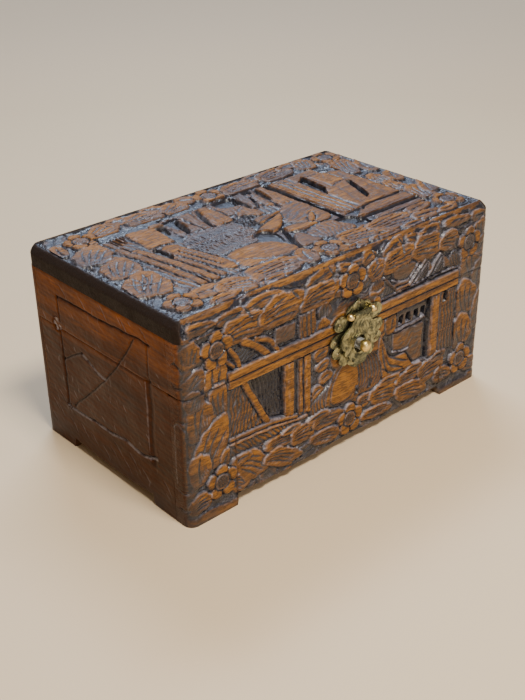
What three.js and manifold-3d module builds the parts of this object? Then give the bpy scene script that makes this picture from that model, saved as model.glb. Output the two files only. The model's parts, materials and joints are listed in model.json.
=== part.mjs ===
// A carved wooden jewelry box with a hinged lid and a brass hasp.
// Millimetres, +Z up, front towards -Y. Each piece is a named mesh.
import * as THREE from 'three';
import { mergeVertices } from 'three/addons/utils/BufferGeometryUtils.js';
import Module from 'manifold-3d';

const wasm = await Module();
wasm.setup();

// ---- driving dimensions ----
const WIDTH = 300;
const DEPTH = 174;
const HEIGHT = 153;
const SEAM_Z = 98.5;
const GAP = 0.3;
const CORNER_RADIUS = 7;

const FRONT_THICKNESS = 15;
const BACK_THICKNESS = 10;
const END_THICKNESS = 11;
const TOP_THICKNESS = 15;
const BOTTOM_THICKNESS = 8;
const BOTTOM_Z = 12;

const HALF_WIDTH = WIDTH / 2;
const FRONT_Y = -DEPTH / 2;
const BACK_Y = DEPTH / 2;
const FRONT_INNER_Y = FRONT_Y + FRONT_THICKNESS;
const BACK_INNER_Y = BACK_Y - BACK_THICKNESS;
const CASE_TOP_Z = SEAM_Z - GAP / 2;
const LID_LOW_Z = SEAM_Z + GAP / 2;
const TOP_LOW_Z = HEIGHT - TOP_THICKNESS;

// bracket feet cut out of the boards' lower edges
const APRON_Z = 8;
const APRON_LOW_Z = 6;
const FRONT_ARCH = [-108.5, 104];
const SIDE_ARCH = [-48, 50];

// top board's rounded upper edge
const TOP_EDGE_DROP = 6;
const TOP_EDGE_INSET = { ends: 5.5, front: 8, back: 3.5 };
const TOP_EDGE_STEPS = 4;

// rear hinges: the pin lies just inside the back face, and a bevel on both edges stops the lid
const PIN_INSET = 1.2;
const BEVEL_ANGLE = THREE.MathUtils.degToRad(52);
const PIN_Y = BACK_Y - PIN_INSET;
const HINGE_X = 88;
const LEAF_LENGTH = 32;
const LEAF_THICKNESS = 1.2;
const LEAF_REACH = 7.2;
const KNUCKLE_RADIUS = 1.9;
const PIN_RADIUS = 0.8;
const RUNNING_CLEARANCE = 0.08;
const BACK_REACH = KNUCKLE_RADIUS - PIN_INSET;

// hasp: a plate on the lid carries the pin, the tongue hangs from it over the post on the body plate
const HASP_X = 5;
const PLATE_THICKNESS = 1.2;
const PLATE_BACK_Y = FRONT_Y - GAP;
const PLATE_FRONT_Y = PLATE_BACK_Y - PLATE_THICKNESS;
const FINIAL_RADIUS = 2.8;
const HASP_PIN_Z = 109.4;
const HASP_PIN_Y = PLATE_FRONT_Y - GAP - FINIAL_RADIUS;
const HASP_BARREL = 16;
const TONGUE_KNUCKLE = 9.2;
const FINIAL_REACH = 11.1;
const BODY_PLATE_SHIFT = -1;
const TONGUE_LEAN = 0.06;
const TONGUE_FLARE = { depth: 3, bendZ: 80, tipZ: 70.4, curl: 0.6 };
const TONGUE_HOLE = { x: -1.8, z: 86.3, halfWidth: 6, halfHeight: 7, rim: 1.5 };
const TONGUE_RIM_HEIGHT = 0.5;
const POST_X = HASP_X - 1.8;
const POST_Z = 86.3;
const FOOT = { radius: 4.4, height: 1.3, tangRadius: 1.5, tangLength: 11 };
const NECK = { height: 7.2, thickness: 4.4, eyeRadius: 2 };
const KNOB = { radius: 4.3, halfThickness: 3.35 };
const KNOB_Y = FRONT_Y - 10.8;
const HASP_REACH = FRONT_Y - (KNOB_Y - KNOB.halfThickness);
const HASP_DEPTH_SPAN = [FRONT_Y - 24, FRONT_Y];

// the whole object is moved so that its bounding box is centred on the frame's origin
const FRAME_SHIFT_Y = (HASP_REACH - BACK_REACH) / 2;

const ROUND_SIDES = 24;
const OVERCUT = 1;

// ---- colours and finishes ----
const FINISH = {
  carvedWood: { color: 0x8a5228, roughness: 0.45, metalness: 0 },
  endWood: { color: 0x4b2c1b, roughness: 0.5, metalness: 0 },
  rawWood: { color: 0xa9784a, roughness: 0.7, metalness: 0 },
  dullBrass: { color: 0x8b8158, roughness: 0.4, metalness: 1 },
  goldBrass: { color: 0xc2a05a, roughness: 0.25, metalness: 1 },
};

// ---- solid helpers ----
function solid(geometry) {
  const plain = geometry.index ? geometry.clone() : geometry;
  plain.deleteAttribute('normal');
  plain.deleteAttribute('uv');
  const merged = mergeVertices(plain, 1e-4);
  return new wasm.Manifold(new wasm.Mesh({
    numProp: 3,
    vertProperties: new Float32Array(merged.attributes.position.array),
    triVerts: new Uint32Array(merged.index.array),
  }));
}

function block([x0, x1], [y0, y1], [z0, z1]) {
  const box = new THREE.BoxGeometry(x1 - x0, y1 - y0, z1 - z0);
  return solid(box.translate((x0 + x1) / 2, (y0 + y1) / 2, (z0 + z1) / 2));
}

// axes of an extrusion: its shape's two directions, then the direction it is pushed along
const TURN = {
  x: new THREE.Matrix4().makeBasis(
    new THREE.Vector3(0, 1, 0), new THREE.Vector3(0, 0, 1), new THREE.Vector3(1, 0, 0)),
  y: new THREE.Matrix4().makeBasis(
    new THREE.Vector3(1, 0, 0), new THREE.Vector3(0, 0, 1), new THREE.Vector3(0, -1, 0)),
  z: new THREE.Matrix4(),
};

function prism(along, shape, low, high, curveSegments = 6) {
  const depth = high - low;
  const pushed = new THREE.ExtrudeGeometry(shape, { depth, bevelEnabled: false, curveSegments });
  pushed.applyMatrix4(TURN[along]);
  const start = along === 'y' ? high : low;
  const place = { x: [start, 0, 0], y: [0, start, 0], z: [0, 0, start] }[along];
  return solid(pushed.translate(...place));
}

function outline(points) {
  return new THREE.Shape(points.map(([a, b]) => new THREE.Vector2(a, b)));
}

function rod(along, [x, y, z], radius, length, sides = ROUND_SIDES) {
  const round = new THREE.CylinderGeometry(radius, radius, length, sides);
  if (along === 'x') round.rotateZ(Math.PI / 2);
  return solid(round.translate(x, y, z));
}

// a turned piece: profile points are [radius, distance out of the front or top face]
function turned(along, [x, y, z], profile, sides = ROUND_SIDES) {
  const round = new THREE.LatheGeometry(profile.map(([r, h]) => new THREE.Vector2(r, h)), sides);
  if (along === 'front') round.rotateX(Math.PI);
  if (along === 'up') round.rotateX(Math.PI / 2);
  if (along === 'down') round.rotateX(-Math.PI / 2);
  return solid(round.translate(x, y, z));
}

const group = new THREE.Group();

function add(name, body, finish) {
  const mesh = body.getMesh();
  const geometry = new THREE.BufferGeometry();
  geometry.setAttribute('position', new THREE.BufferAttribute(new Float32Array(mesh.vertProperties), 3));
  geometry.setIndex(new THREE.BufferAttribute(new Uint32Array(mesh.triVerts), 1));
  geometry.translate(0, FRAME_SHIFT_Y, 0);
  geometry.computeVertexNormals();
  const piece = new THREE.Mesh(geometry, new THREE.MeshStandardMaterial(finish));
  piece.name = name;
  group.add(piece);
}

function cut(body, tools) {
  return tools.reduce((left, tool) => left.subtract(tool), body);
}

// ---- shared outlines ----
function roundedPlan(inset = [0, 0, 0]) {
  const [sides, front, back] = inset;
  const x = HALF_WIDTH - sides;
  const low = FRONT_Y + front;
  const high = BACK_Y - back;
  const r = CORNER_RADIUS;
  const plan = new THREE.Shape();
  plan.moveTo(-x + r, low);
  plan.lineTo(x - r, low);
  plan.absarc(x - r, low + r, r, -Math.PI / 2, 0);
  plan.absarc(x - r, high - r, r, 0, Math.PI / 2);
  plan.absarc(-x + r, high - r, r, Math.PI / 2, Math.PI);
  plan.absarc(-x + r, low + r, r, Math.PI, 1.5 * Math.PI);
  return plan;
}

const boxPlan = prism('z', roundedPlan(), -OVERCUT, HEIGHT + OVERCUT);

function footedFront() {
  const [left, right] = FRONT_ARCH;
  const middle = (left + right) / 2;
  const edge = new THREE.Shape();
  edge.moveTo(-HALF_WIDTH, 0);
  edge.lineTo(left, 0);
  edge.lineTo(left + 1, APRON_Z);
  edge.quadraticCurveTo((left + middle) / 2, APRON_LOW_Z, middle, APRON_Z);
  edge.quadraticCurveTo((right + middle) / 2, APRON_LOW_Z, right - 1, APRON_Z);
  edge.lineTo(right, 0);
  edge.lineTo(HALF_WIDTH, 0);
  edge.lineTo(HALF_WIDTH, CASE_TOP_Z);
  edge.lineTo(-HALF_WIDTH, CASE_TOP_Z);
  return edge;
}

function footedSide() {
  const [front, back] = SIDE_ARCH;
  const low = FRONT_INNER_Y + GAP;
  const high = BACK_INNER_Y - GAP;
  const edge = new THREE.Shape();
  edge.moveTo(low, 0);
  edge.lineTo(front, 0);
  edge.lineTo(front + 1, APRON_Z);
  edge.quadraticCurveTo((front + back) / 2, APRON_LOW_Z - 1, back - 1, APRON_Z);
  edge.lineTo(back, 0);
  edge.lineTo(high, 0);
  edge.lineTo(high, CASE_TOP_Z);
  edge.lineTo(low, CASE_TOP_Z);
  return edge;
}

// bevel on the back edges, with its apex on the hinge axis
function backBevel(upwards) {
  const reach = PIN_INSET + OVERCUT;
  const rise = upwards * Math.tan(BEVEL_ANGLE) * reach;
  const corners = [[PIN_Y, SEAM_Z], [PIN_Y + reach, SEAM_Z], [PIN_Y + reach, SEAM_Z + rise]];
  if (upwards < 0) corners.reverse();
  return prism('x', outline(corners), -HALF_WIDTH - OVERCUT, HALF_WIDTH + OVERCUT);
}

// ---- fasteners ----
const SCREW = { head: 1.7, headDepth: 1.1, shank: 0.8, length: 7 };
const NAIL = { head: 1.5, dome: 0.8, shank: 0.6, length: 8 };
const HOLE_CLEARANCE = 0.1;
const FASTENER_SIDES = 16;

function screw(way, place) {
  const { head, headDepth, shank, length } = SCREW;
  return turned(way, place, [[0, -length], [shank, -length + shank], [shank, -headDepth],
    [head, -0.1], [head, 0], [0, 0]], FASTENER_SIDES);
}

function screwHole(way, place) {
  const { head, headDepth, shank, length } = SCREW;
  const c = HOLE_CLEARANCE;
  return turned(way, place, [[0, -length - c], [shank + c, -length - c], [shank + c, -headDepth - c],
    [head + c, -c], [head + c, OVERCUT], [0, OVERCUT]], FASTENER_SIDES);
}

function nail(place) {
  const { head, dome, shank, length } = NAIL;
  return turned('front', place, [[0, -length], [shank, -length + 2 * shank], [shank, 0.1],
    [head, 0.1], [head * 0.8, 0.1 + dome * 0.65], [head * 0.4, 0.1 + dome], [0, 0.1 + dome]], FASTENER_SIDES);
}

function nailHole([x, y, z]) {
  const length = NAIL.length + HOLE_CLEARANCE + OVERCUT;
  return rod('y', [x, y + length / 2 - OVERCUT, z], NAIL.shank + HOLE_CLEARANCE, length, FASTENER_SIDES);
}

const LID_NAILS = [[-18.5, 104.3], [18.5, 104.3], [0, 116.2]].map(
  ([dx, z]) => [HASP_X + dx, PLATE_FRONT_Y, z]);
const BODY_NAILS = [[-22, 92.4], [22, 92.4], [-19.2, 82.2], [19.2, 82.2]].map(
  ([dx, z]) => [HASP_X + BODY_PLATE_SHIFT + dx, PLATE_FRONT_Y, z]);

// ---- rear hinges ----
const HINGE_CENTRES = { left: -HINGE_X, right: HINGE_X };
const LEAF_FRONT_Y = PIN_Y - LEAF_REACH;
const SCREW_SPREAD = 9.5;
const SCREW_INSET = 4.4;

function leafHeights(up) {
  const near = SEAM_Z + up * GAP / 2;
  const far = near + up * LEAF_THICKNESS;
  return [Math.min(near, far), Math.max(near, far)];
}

function leafPocket(centre, up) {
  const [low, high] = leafHeights(up);
  const slack = GAP / 2;
  return block([centre - LEAF_LENGTH / 2 - slack, centre + LEAF_LENGTH / 2 + slack],
    [LEAF_FRONT_Y - slack, BACK_Y + OVERCUT],
    up > 0 ? [low - OVERCUT, high + slack] : [low - slack, high + OVERCUT]);
}

function barrelPocket(centre) {
  return rod('x', [centre, PIN_Y, SEAM_Z], KNUCKLE_RADIUS + GAP, LEAF_LENGTH + GAP);
}

// knuckle spans along the hinge: the case leaf holds the two outer ones, the lid leaf the middle one
function knuckleSpans(up) {
  const third = LEAF_LENGTH / 3;
  const half = LEAF_LENGTH / 2;
  return up > 0
    ? [[-half + third + GAP / 2, half - third - GAP / 2]]
    : [[-half, -half + third - GAP / 2], [half - third + GAP / 2, half]];
}

function hingeLeaf(centre, up) {
  const heights = leafHeights(up);
  let leaf = block([centre - LEAF_LENGTH / 2, centre + LEAF_LENGTH / 2],
    [LEAF_FRONT_Y, PIN_Y - KNUCKLE_RADIUS - GAP], heights);
  for (const [from, to] of knuckleSpans(up)) {
    const middle = centre + (from + to) / 2;
    leaf = leaf.add(rod('x', [middle, PIN_Y, SEAM_Z], KNUCKLE_RADIUS, to - from));
    leaf = leaf.add(block([centre + from, centre + to], [LEAF_FRONT_Y + LEAF_THICKNESS, PIN_Y], heights));
  }
  const bore = rod('x', [centre, PIN_Y, SEAM_Z], PIN_RADIUS + RUNNING_CLEARANCE, LEAF_LENGTH + 2 * OVERCUT);
  leaf = leaf.subtract(bore);
  return cut(leaf, hingeScrewPlaces(centre, up).map((place) => screwHole(up > 0 ? 'down' : 'up', place)));
}

function hingeScrewPlaces(centre, up) {
  return [-1, 1].map((side) => [centre + side * SCREW_SPREAD, PIN_Y - SCREW_INSET, SEAM_Z + up * GAP / 2]);
}

function hingePin(centre) {
  return rod('x', [centre, PIN_Y, SEAM_Z], PIN_RADIUS, LEAF_LENGTH);
}

// ---- boards ----
const boardSpanY = [FRONT_INNER_Y + GAP, BACK_INNER_Y - GAP];
const endSpans = {
  left: [-HALF_WIDTH, -HALF_WIDTH + END_THICKNESS],
  right: [HALF_WIDTH - END_THICKNESS, HALF_WIDTH],
};
const railHeights = [LID_LOW_Z, TOP_LOW_Z - GAP];
const fullSpanX = [-HALF_WIDTH, HALF_WIDTH];

function backCuts(up) {
  const cuts = [backBevel(up)];
  for (const centre of Object.values(HINGE_CENTRES)) {
    cuts.push(leafPocket(centre, up), barrelPocket(centre));
    for (const place of hingeScrewPlaces(centre, up)) cuts.push(screwHole(up > 0 ? 'down' : 'up', place));
  }
  return cuts;
}

function caseFrontBoard() {
  const board = prism('y', footedFront(), FRONT_Y, FRONT_INNER_Y).intersect(boxPlan);
  return cut(board, [tangHole(), ...BODY_NAILS.map(nailHole)]);
}

function caseBackBoard() {
  const board = prism('y', footedFront(), BACK_INNER_Y, BACK_Y).intersect(boxPlan);
  return cut(board, backCuts(-1));
}

function caseEndBoard(side) {
  return prism('x', footedSide(), ...endSpans[side]).intersect(boxPlan);
}

function caseBottomBoard() {
  const reach = HALF_WIDTH - END_THICKNESS - GAP;
  return block([-reach, reach], boardSpanY, [BOTTOM_Z, BOTTOM_Z + BOTTOM_THICKNESS]);
}

function lidFrontRail() {
  const rail = block(fullSpanX, [FRONT_Y, FRONT_INNER_Y], railHeights).intersect(boxPlan);
  return cut(rail, LID_NAILS.map(nailHole));
}

function lidBackRail() {
  const rail = block(fullSpanX, [BACK_INNER_Y, BACK_Y], railHeights).intersect(boxPlan);
  return cut(rail, backCuts(1));
}

function lidEndRail(side) {
  return block(endSpans[side], boardSpanY, railHeights).intersect(boxPlan);
}

// the top board's upper edge is rounded over by a stack of thin slabs that draw in towards the top
function lidTopBoard() {
  let board = prism('z', roundedPlan(), TOP_LOW_Z, HEIGHT - TOP_EDGE_DROP);
  for (let step = 1; step <= TOP_EDGE_STEPS; step += 1) {
    const turn = (step / TOP_EDGE_STEPS) * (Math.PI / 2);
    const { ends, front, back } = TOP_EDGE_INSET;
    const insets = [ends, front, back].map((full) => full * (1 - Math.cos(turn)));
    const top = HEIGHT - TOP_EDGE_DROP + TOP_EDGE_DROP * Math.sin(turn);
    board = board.add(prism('z', roundedPlan(insets), TOP_LOW_Z, top));
  }
  return board;
}

// ---- hasp ----
// a plate's outline is the right half, given as lobes, and its mirror image;
// a leaning plate hangs a little to the left, more so the further down it goes
function lobedShape(centreX, start, lobes, lean = 0) {
  const place = (x, z) => [centreX + x - lean * (start[1] - z), z];
  const curve = (ax, az, bx, bz, x, z) => [...place(ax, az), ...place(bx, bz), ...place(x, z)];
  const shape = new THREE.Shape();
  shape.moveTo(...place(0, start[1]));
  shape.lineTo(...place(...start));
  for (const lobe of lobes) shape.bezierCurveTo(...curve(...lobe));
  const ends = [start, ...lobes.map((lobe) => lobe.slice(4))];
  for (let i = lobes.length - 1; i >= 0; i -= 1) {
    const [ax, az, bx, bz] = lobes[i];
    const [x, z] = ends[i];
    shape.bezierCurveTo(...curve(-bx, bz, -ax, az, -x, z));
  }
  return shape;
}

const LID_PLATE_LOBES = [
  [21, 98.5, 28, 104, 21.5, 109],
  [18, 112, 14, 111, 13, 109.6],
  [12.5, 114, 9, 117, 6, 115.6],
  [4, 116.5, 2, 118, 0, 120],
];
const BODY_PLATE_LOBES = [
  [27, 98, 30, 90, 21.5, 87.3],
  [27, 86, 26, 78, 17, 78.5],
  [20.5, 76, 15, 68.5, 9.5, 71.5],
  [7, 68.5, 3, 66, 0, 65.5],
];
const TONGUE_LOBES = [
  [4.6, 108.2, 4.2, 106.4, 7.6, 106.6],
  [8.5, 103, 11, 101.5, 13.5, 98.8],
  [20.6, 97.5, 21, 87, 14.4, 84.3],
  [15.8, 81.5, 13.2, 78.5, 10.2, 79.2],
  [10.6, 77, 9, 75.2, 7, 75.6],
  [7, 72.5, 3.5, 71.3, 0, 71.3],
];

function haspLidPlate() {
  let plate = prism('y', lobedShape(HASP_X, [17, 99.2], LID_PLATE_LOBES), PLATE_FRONT_Y, PLATE_BACK_Y);
  const inner = TONGUE_KNUCKLE / 2 + GAP;
  for (const side of [-1, 1]) {
    const span = [HASP_X + side * inner, HASP_X + side * HASP_BARREL / 2].sort((a, b) => a - b);
    const middle = (span[0] + span[1]) / 2;
    plate = plate.add(rod('x', [middle, HASP_PIN_Y, HASP_PIN_Z], KNUCKLE_RADIUS, span[1] - span[0]));
    const web = [HASP_PIN_Z - KNUCKLE_RADIUS / 2, HASP_PIN_Z + KNUCKLE_RADIUS / 2];
    plate = plate.add(block(span, [HASP_PIN_Y, PLATE_BACK_Y], web));
  }
  return cut(plate, [haspBore(), ...LID_NAILS.map(nailHole)]);
}

function haspBore() {
  const radius = PIN_RADIUS + RUNNING_CLEARANCE;
  return rod('x', [HASP_X, HASP_PIN_Y, HASP_PIN_Z], radius, HASP_BARREL + 2 * OVERCUT);
}

function haspBodyPlate() {
  const centre = HASP_X + BODY_PLATE_SHIFT;
  const plate = prism('y', lobedShape(centre, [19, 97.9], BODY_PLATE_LOBES), PLATE_FRONT_Y, PLATE_BACK_Y);
  return cut(plate, [tangHole(), ...BODY_NAILS.map(nailHole)]);
}

// hole for the post's tang, through the body plate and into the front board
function tangHole() {
  return rod('y', [POST_X, FRONT_Y, POST_Z], FOOT.tangRadius + HOLE_CLEARANCE, 2 * FOOT.tangLength);
}

// side view of the tongue: a flat sheet that flares outwards at its tip
function tongueProfile() {
  const { depth, bendZ, tipZ, curl } = TONGUE_FLARE;
  const inner = HASP_PIN_Y + PLATE_THICKNESS;
  const outer = HASP_PIN_Y;
  const turnZ = (bendZ + tipZ + curl) / 2;
  const profile = new THREE.Shape();
  profile.moveTo(inner, HASP_PIN_Z);
  profile.lineTo(outer, HASP_PIN_Z);
  profile.lineTo(outer, bendZ);
  profile.quadraticCurveTo(outer, turnZ, outer - depth, tipZ);
  profile.lineTo(inner - depth, tipZ - PLATE_THICKNESS);
  profile.quadraticCurveTo(inner, turnZ - curl, inner, bendZ);
  return profile;
}

function oval(centreX, centreZ, halfWidth, halfHeight) {
  const shape = new THREE.Shape();
  shape.absellipse(centreX, centreZ, halfWidth, halfHeight, 0, 2 * Math.PI);
  return shape;
}

function haspTongue() {
  const { x, z, halfWidth, halfHeight, rim } = TONGUE_HOLE;
  const face = lobedShape(HASP_X, [TONGUE_KNUCKLE / 2, HASP_PIN_Z], TONGUE_LOBES, TONGUE_LEAN);
  const sheet = prism('x', tongueProfile(), ...fullSpanX).intersect(prism('y', face, ...HASP_DEPTH_SPAN));
  const raised = prism('y', oval(HASP_X + x, z, halfWidth + rim, halfHeight + rim),
    HASP_PIN_Y - TONGUE_RIM_HEIGHT, HASP_PIN_Y + PLATE_THICKNESS / 2);
  const hole = prism('y', oval(HASP_X + x, z, halfWidth, halfHeight), ...HASP_DEPTH_SPAN);
  const barrel = rod('x', [HASP_X, HASP_PIN_Y, HASP_PIN_Z], KNUCKLE_RADIUS, TONGUE_KNUCKLE);
  return cut(sheet.add(raised).add(barrel), [hole, haspBore()]);
}

function ball(centre, radius, halfDepth = radius) {
  const round = new THREE.SphereGeometry(radius, ROUND_SIDES, ROUND_SIDES / 2);
  return solid(round.scale(1, halfDepth / radius, 1).translate(...centre));
}

function haspPin() {
  const left = HASP_X - FINIAL_REACH;
  return rod('x', [HASP_X, HASP_PIN_Y, HASP_PIN_Z], PIN_RADIUS, 2 * FINIAL_REACH)
    .add(ball([left, HASP_PIN_Y, HASP_PIN_Z], FINIAL_RADIUS));
}

// the loose ball on the pin's right end, bored just past its centre
function haspFinial() {
  const centre = HASP_X + FINIAL_REACH;
  const length = FINIAL_RADIUS + OVERCUT;
  const seat = rod('x', [centre + HOLE_CLEARANCE - length / 2, HASP_PIN_Y, HASP_PIN_Z],
    PIN_RADIUS + RUNNING_CLEARANCE, length);
  return ball([centre, HASP_PIN_Y, HASP_PIN_Z], FINIAL_RADIUS).subtract(seat);
}

// staple post: a tang through the plate, a domed foot, a flat neck with a cross eye, and a knob
function haspPost() {
  const root = PLATE_FRONT_Y - GAP;
  const foot = turned('front', [POST_X, root, POST_Z],
    [[0, -FOOT.tangLength], [FOOT.tangRadius, -FOOT.tangLength], [FOOT.tangRadius, 0], [FOOT.radius, 0],
      [FOOT.radius * 0.92, FOOT.height * 0.5], [FOOT.radius * 0.6, FOOT.height * 0.9], [0, FOOT.height]]);
  const neck = block([POST_X - NECK.thickness / 2, POST_X + NECK.thickness / 2],
    [KNOB_Y, root], [POST_Z - NECK.height / 2, POST_Z + NECK.height / 2]);
  const eyeY = (root - FOOT.height + KNOB_Y + KNOB.halfThickness) / 2;
  const eye = rod('x', [POST_X, eyeY, POST_Z], NECK.eyeRadius, 2 * NECK.thickness);
  return foot.add(neck).subtract(eye).add(ball([POST_X, KNOB_Y, POST_Z], KNOB.radius, KNOB.halfThickness));
}

// ---- assembly ----
function addCase() {
  add('case_front_board', caseFrontBoard(), FINISH.carvedWood);
  add('case_back_board', caseBackBoard(), FINISH.endWood);
  add('case_left_end_board', caseEndBoard('left'), FINISH.endWood);
  add('case_right_end_board', caseEndBoard('right'), FINISH.endWood);
  add('case_bottom_board', caseBottomBoard(), FINISH.rawWood);
}

function addLid() {
  add('lid_top_board', lidTopBoard(), FINISH.carvedWood);
  add('lid_front_rail', lidFrontRail(), FINISH.carvedWood);
  add('lid_back_rail', lidBackRail(), FINISH.endWood);
  add('lid_left_rail', lidEndRail('left'), FINISH.endWood);
  add('lid_right_rail', lidEndRail('right'), FINISH.endWood);
}

function addRearHinges() {
  for (const [side, centre] of Object.entries(HINGE_CENTRES)) {
    add(`hinge_${side}_case_leaf`, hingeLeaf(centre, -1), FINISH.dullBrass);
    add(`hinge_${side}_lid_leaf`, hingeLeaf(centre, 1), FINISH.dullBrass);
    add(`hinge_${side}_pin`, hingePin(centre), FINISH.goldBrass);
    for (const [half, up, way] of [['case', -1, 'up'], ['lid', 1, 'down']]) {
      hingeScrewPlaces(centre, up).forEach((place, index) => {
        add(`hinge_${side}_${half}_screw_${index + 1}`, screw(way, place), FINISH.goldBrass);
      });
    }
  }
}

function addHasp() {
  add('hasp_lid_plate', haspLidPlate(), FINISH.dullBrass);
  add('hasp_body_plate', haspBodyPlate(), FINISH.dullBrass);
  add('hasp_tongue', haspTongue(), FINISH.dullBrass);
  add('hasp_hinge_pin', haspPin(), FINISH.goldBrass);
  add('hasp_pin_finial', haspFinial(), FINISH.goldBrass);
  add('hasp_staple_post', haspPost(), FINISH.goldBrass);
  LID_NAILS.forEach((place, index) => add(`hasp_lid_nail_${index + 1}`, nail(place), FINISH.goldBrass));
  BODY_NAILS.forEach((place, index) => add(`hasp_body_nail_${index + 1}`, nail(place), FINISH.goldBrass));
}

addCase();
addLid();
addRearHinges();
addHasp();

export default group;
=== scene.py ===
import json
import math

import bmesh
import bpy
import numpy as np
from mathutils import Matrix, Vector


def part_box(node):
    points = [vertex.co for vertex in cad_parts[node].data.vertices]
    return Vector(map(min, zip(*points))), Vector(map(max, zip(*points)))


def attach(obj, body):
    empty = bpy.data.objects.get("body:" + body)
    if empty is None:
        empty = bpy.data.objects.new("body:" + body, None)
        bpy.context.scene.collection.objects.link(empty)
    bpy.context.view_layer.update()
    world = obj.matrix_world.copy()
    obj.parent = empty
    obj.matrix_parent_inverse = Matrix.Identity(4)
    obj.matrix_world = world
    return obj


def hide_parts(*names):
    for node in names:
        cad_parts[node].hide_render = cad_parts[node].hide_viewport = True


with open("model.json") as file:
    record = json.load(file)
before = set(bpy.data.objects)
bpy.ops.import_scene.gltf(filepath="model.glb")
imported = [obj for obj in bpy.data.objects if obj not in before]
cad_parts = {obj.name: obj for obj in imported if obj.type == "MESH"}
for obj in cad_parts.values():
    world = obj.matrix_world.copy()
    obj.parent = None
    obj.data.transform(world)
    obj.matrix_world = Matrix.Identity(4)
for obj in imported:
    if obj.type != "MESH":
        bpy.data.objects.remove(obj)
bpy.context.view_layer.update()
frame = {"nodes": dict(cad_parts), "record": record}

# ---------------------------------------------------------------------------
# Driving dimensions. Work is in millimetres measured on the wooden box itself:
# x from its middle, y from its middle (front is negative), z up from the table.
# ---------------------------------------------------------------------------
MM = 0.001


def box_of(node):
    """A solid's low and high corners in millimetres."""
    low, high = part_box(node)
    return Vector(low) / MM, Vector(high) / MM


top_low, top_high = box_of("lid_top_board")
case_low, case_high = box_of("case_front_board")
rail_low, rail_high = box_of("lid_front_rail")
HALF_WIDTH = (top_high.x - top_low.x) / 2
HALF_DEPTH = (top_high.y - top_low.y) / 2
BOX_Y = (top_high.y + top_low.y) / 2
TOP_Z = top_high.z
TOP_LOW_Z = top_low.z
SEAM_Z = (case_high.z + rail_low.z) / 2
BOARD = case_high.y - case_low.y
FRONT_Y = -HALF_DEPTH
CORNER = 7.0               # radius of the two rounded front corners
RAIL_REACH = 0.2           # the lid's rails are this much taller, to close the glue line under the top

ARCH = (-108.5, 104.0)     # where the front's open foot line starts and ends
APRON_Z = 8.0
APRON_LOW_Z = 6.0
SIDE_ARCH = (-48.0, 50.0)  # the same on the two ends
FOOT_SLOPE = 1.6           # how steeply the foot line rises out of the feet

GRID = 0.7                 # spacing of the points on the carved front, the top and the ends
TOP_GRID = 0.86
END_GRID = 0.62
TINY = 1e-9
FIELDS = ("height", "tint", "pale", "lines", "lined")


def place(points):
    """Points in millimetres on the wooden box, as metres in the frame."""
    return (np.asarray(points, dtype=float) + (0.0, BOX_Y, 0.0)) * MM


# ---------------------------------------------------------------------------
# Carving: heights in millimetres over a field of surface coordinates (u, v)
# ---------------------------------------------------------------------------
def smooth_step(value):
    """Rises from 0 to 1 with soft ends as the value does."""
    t = np.clip(value, 0.0, 1.0)
    return t * t * (3 - 2 * t)


def direction(degrees):
    """Cosine and sine of an angle in degrees."""
    return math.cos(math.radians(degrees)), math.sin(math.radians(degrees))


def between(a, b, c, d, t):
    """A point a share t of the way from b to c, on the smooth line through a, b, c and d."""
    bend, twist = 2 * a - 5 * b + 4 * c - d, 3 * b - a - 3 * c + d
    return 0.5 * (2 * b + (c - a) * t + bend * t ** 2 + twist * t ** 3)


def loop_points(points, steps=5):
    """A smooth closed outline through a few chosen points."""
    p = np.asarray(points, dtype=float)
    before, after, beyond = np.roll(p, 1, 0), np.roll(p, -1, 0), np.roll(p, -2, 0)
    rows = [between(before, p, after, beyond, t) for t in np.linspace(0, 1, steps, endpoint=False)]
    return np.stack(rows, 1).reshape(-1, 2)


def to_segment(u, v, start, end):
    """Distance to a straight piece of line, and how far along it (0 to 1) the nearest point is."""
    (ax, ay), (bx, by) = start, end
    ex, ey = bx - ax, by - ay
    t = np.clip(((u - ax) * ex + (v - ay) * ey) / max(ex * ex + ey * ey, TINY), 0, 1)
    return np.hypot(u - ax - t * ex, v - ay - t * ey), t


def inside_distance(u, v, outline):
    """How far inside a closed outline each point lies, negative outside."""
    best = np.full(u.shape, 1e9)
    inside = np.zeros(u.shape, bool)
    for (ax, ay), (bx, by) in zip(outline, np.roll(outline, -1, 0)):
        best = np.minimum(best, to_segment(u, v, (ax, ay), (bx, by))[0])
        if ay != by:
            crosses = (ay > v) != (by > v)
            inside ^= crosses & (u < (bx - ax) * (v - ay) / (by - ay) + ax)
    return np.where(inside, best, -best)


def line_distance(u, v, points):
    """Distance to an open line, and how far along it (0 to 1) the nearest point is."""
    p = np.asarray(points, dtype=float)
    lengths = np.hypot(*np.diff(p, axis=0).T)
    total, run = lengths.sum(), 0.0
    best, along = np.full(u.shape, 1e9), np.zeros(u.shape)
    for start, end, length in zip(p[:-1], p[1:], lengths):
        d, t = to_segment(u, v, start, end)
        along = np.where(d < best, (run + t * length) / total, along)
        best = np.minimum(best, d)
        run += length
    return best, along


def curve_points(points, steps=6):
    """A smooth open line through a few chosen points."""
    p = np.asarray(points, dtype=float)
    if len(p) < 3:
        return p
    p = np.vstack([2 * p[0] - p[1], p, 2 * p[-1] - p[-2]])
    rows = []
    for a, b, c, d in zip(p[:-3], p[1:-2], p[2:-1], p[3:]):
        rows += [between(a, b, c, d, t) for t in np.linspace(0, 1, steps, endpoint=False)]
    return np.array(rows + [p[-2]])


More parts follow.
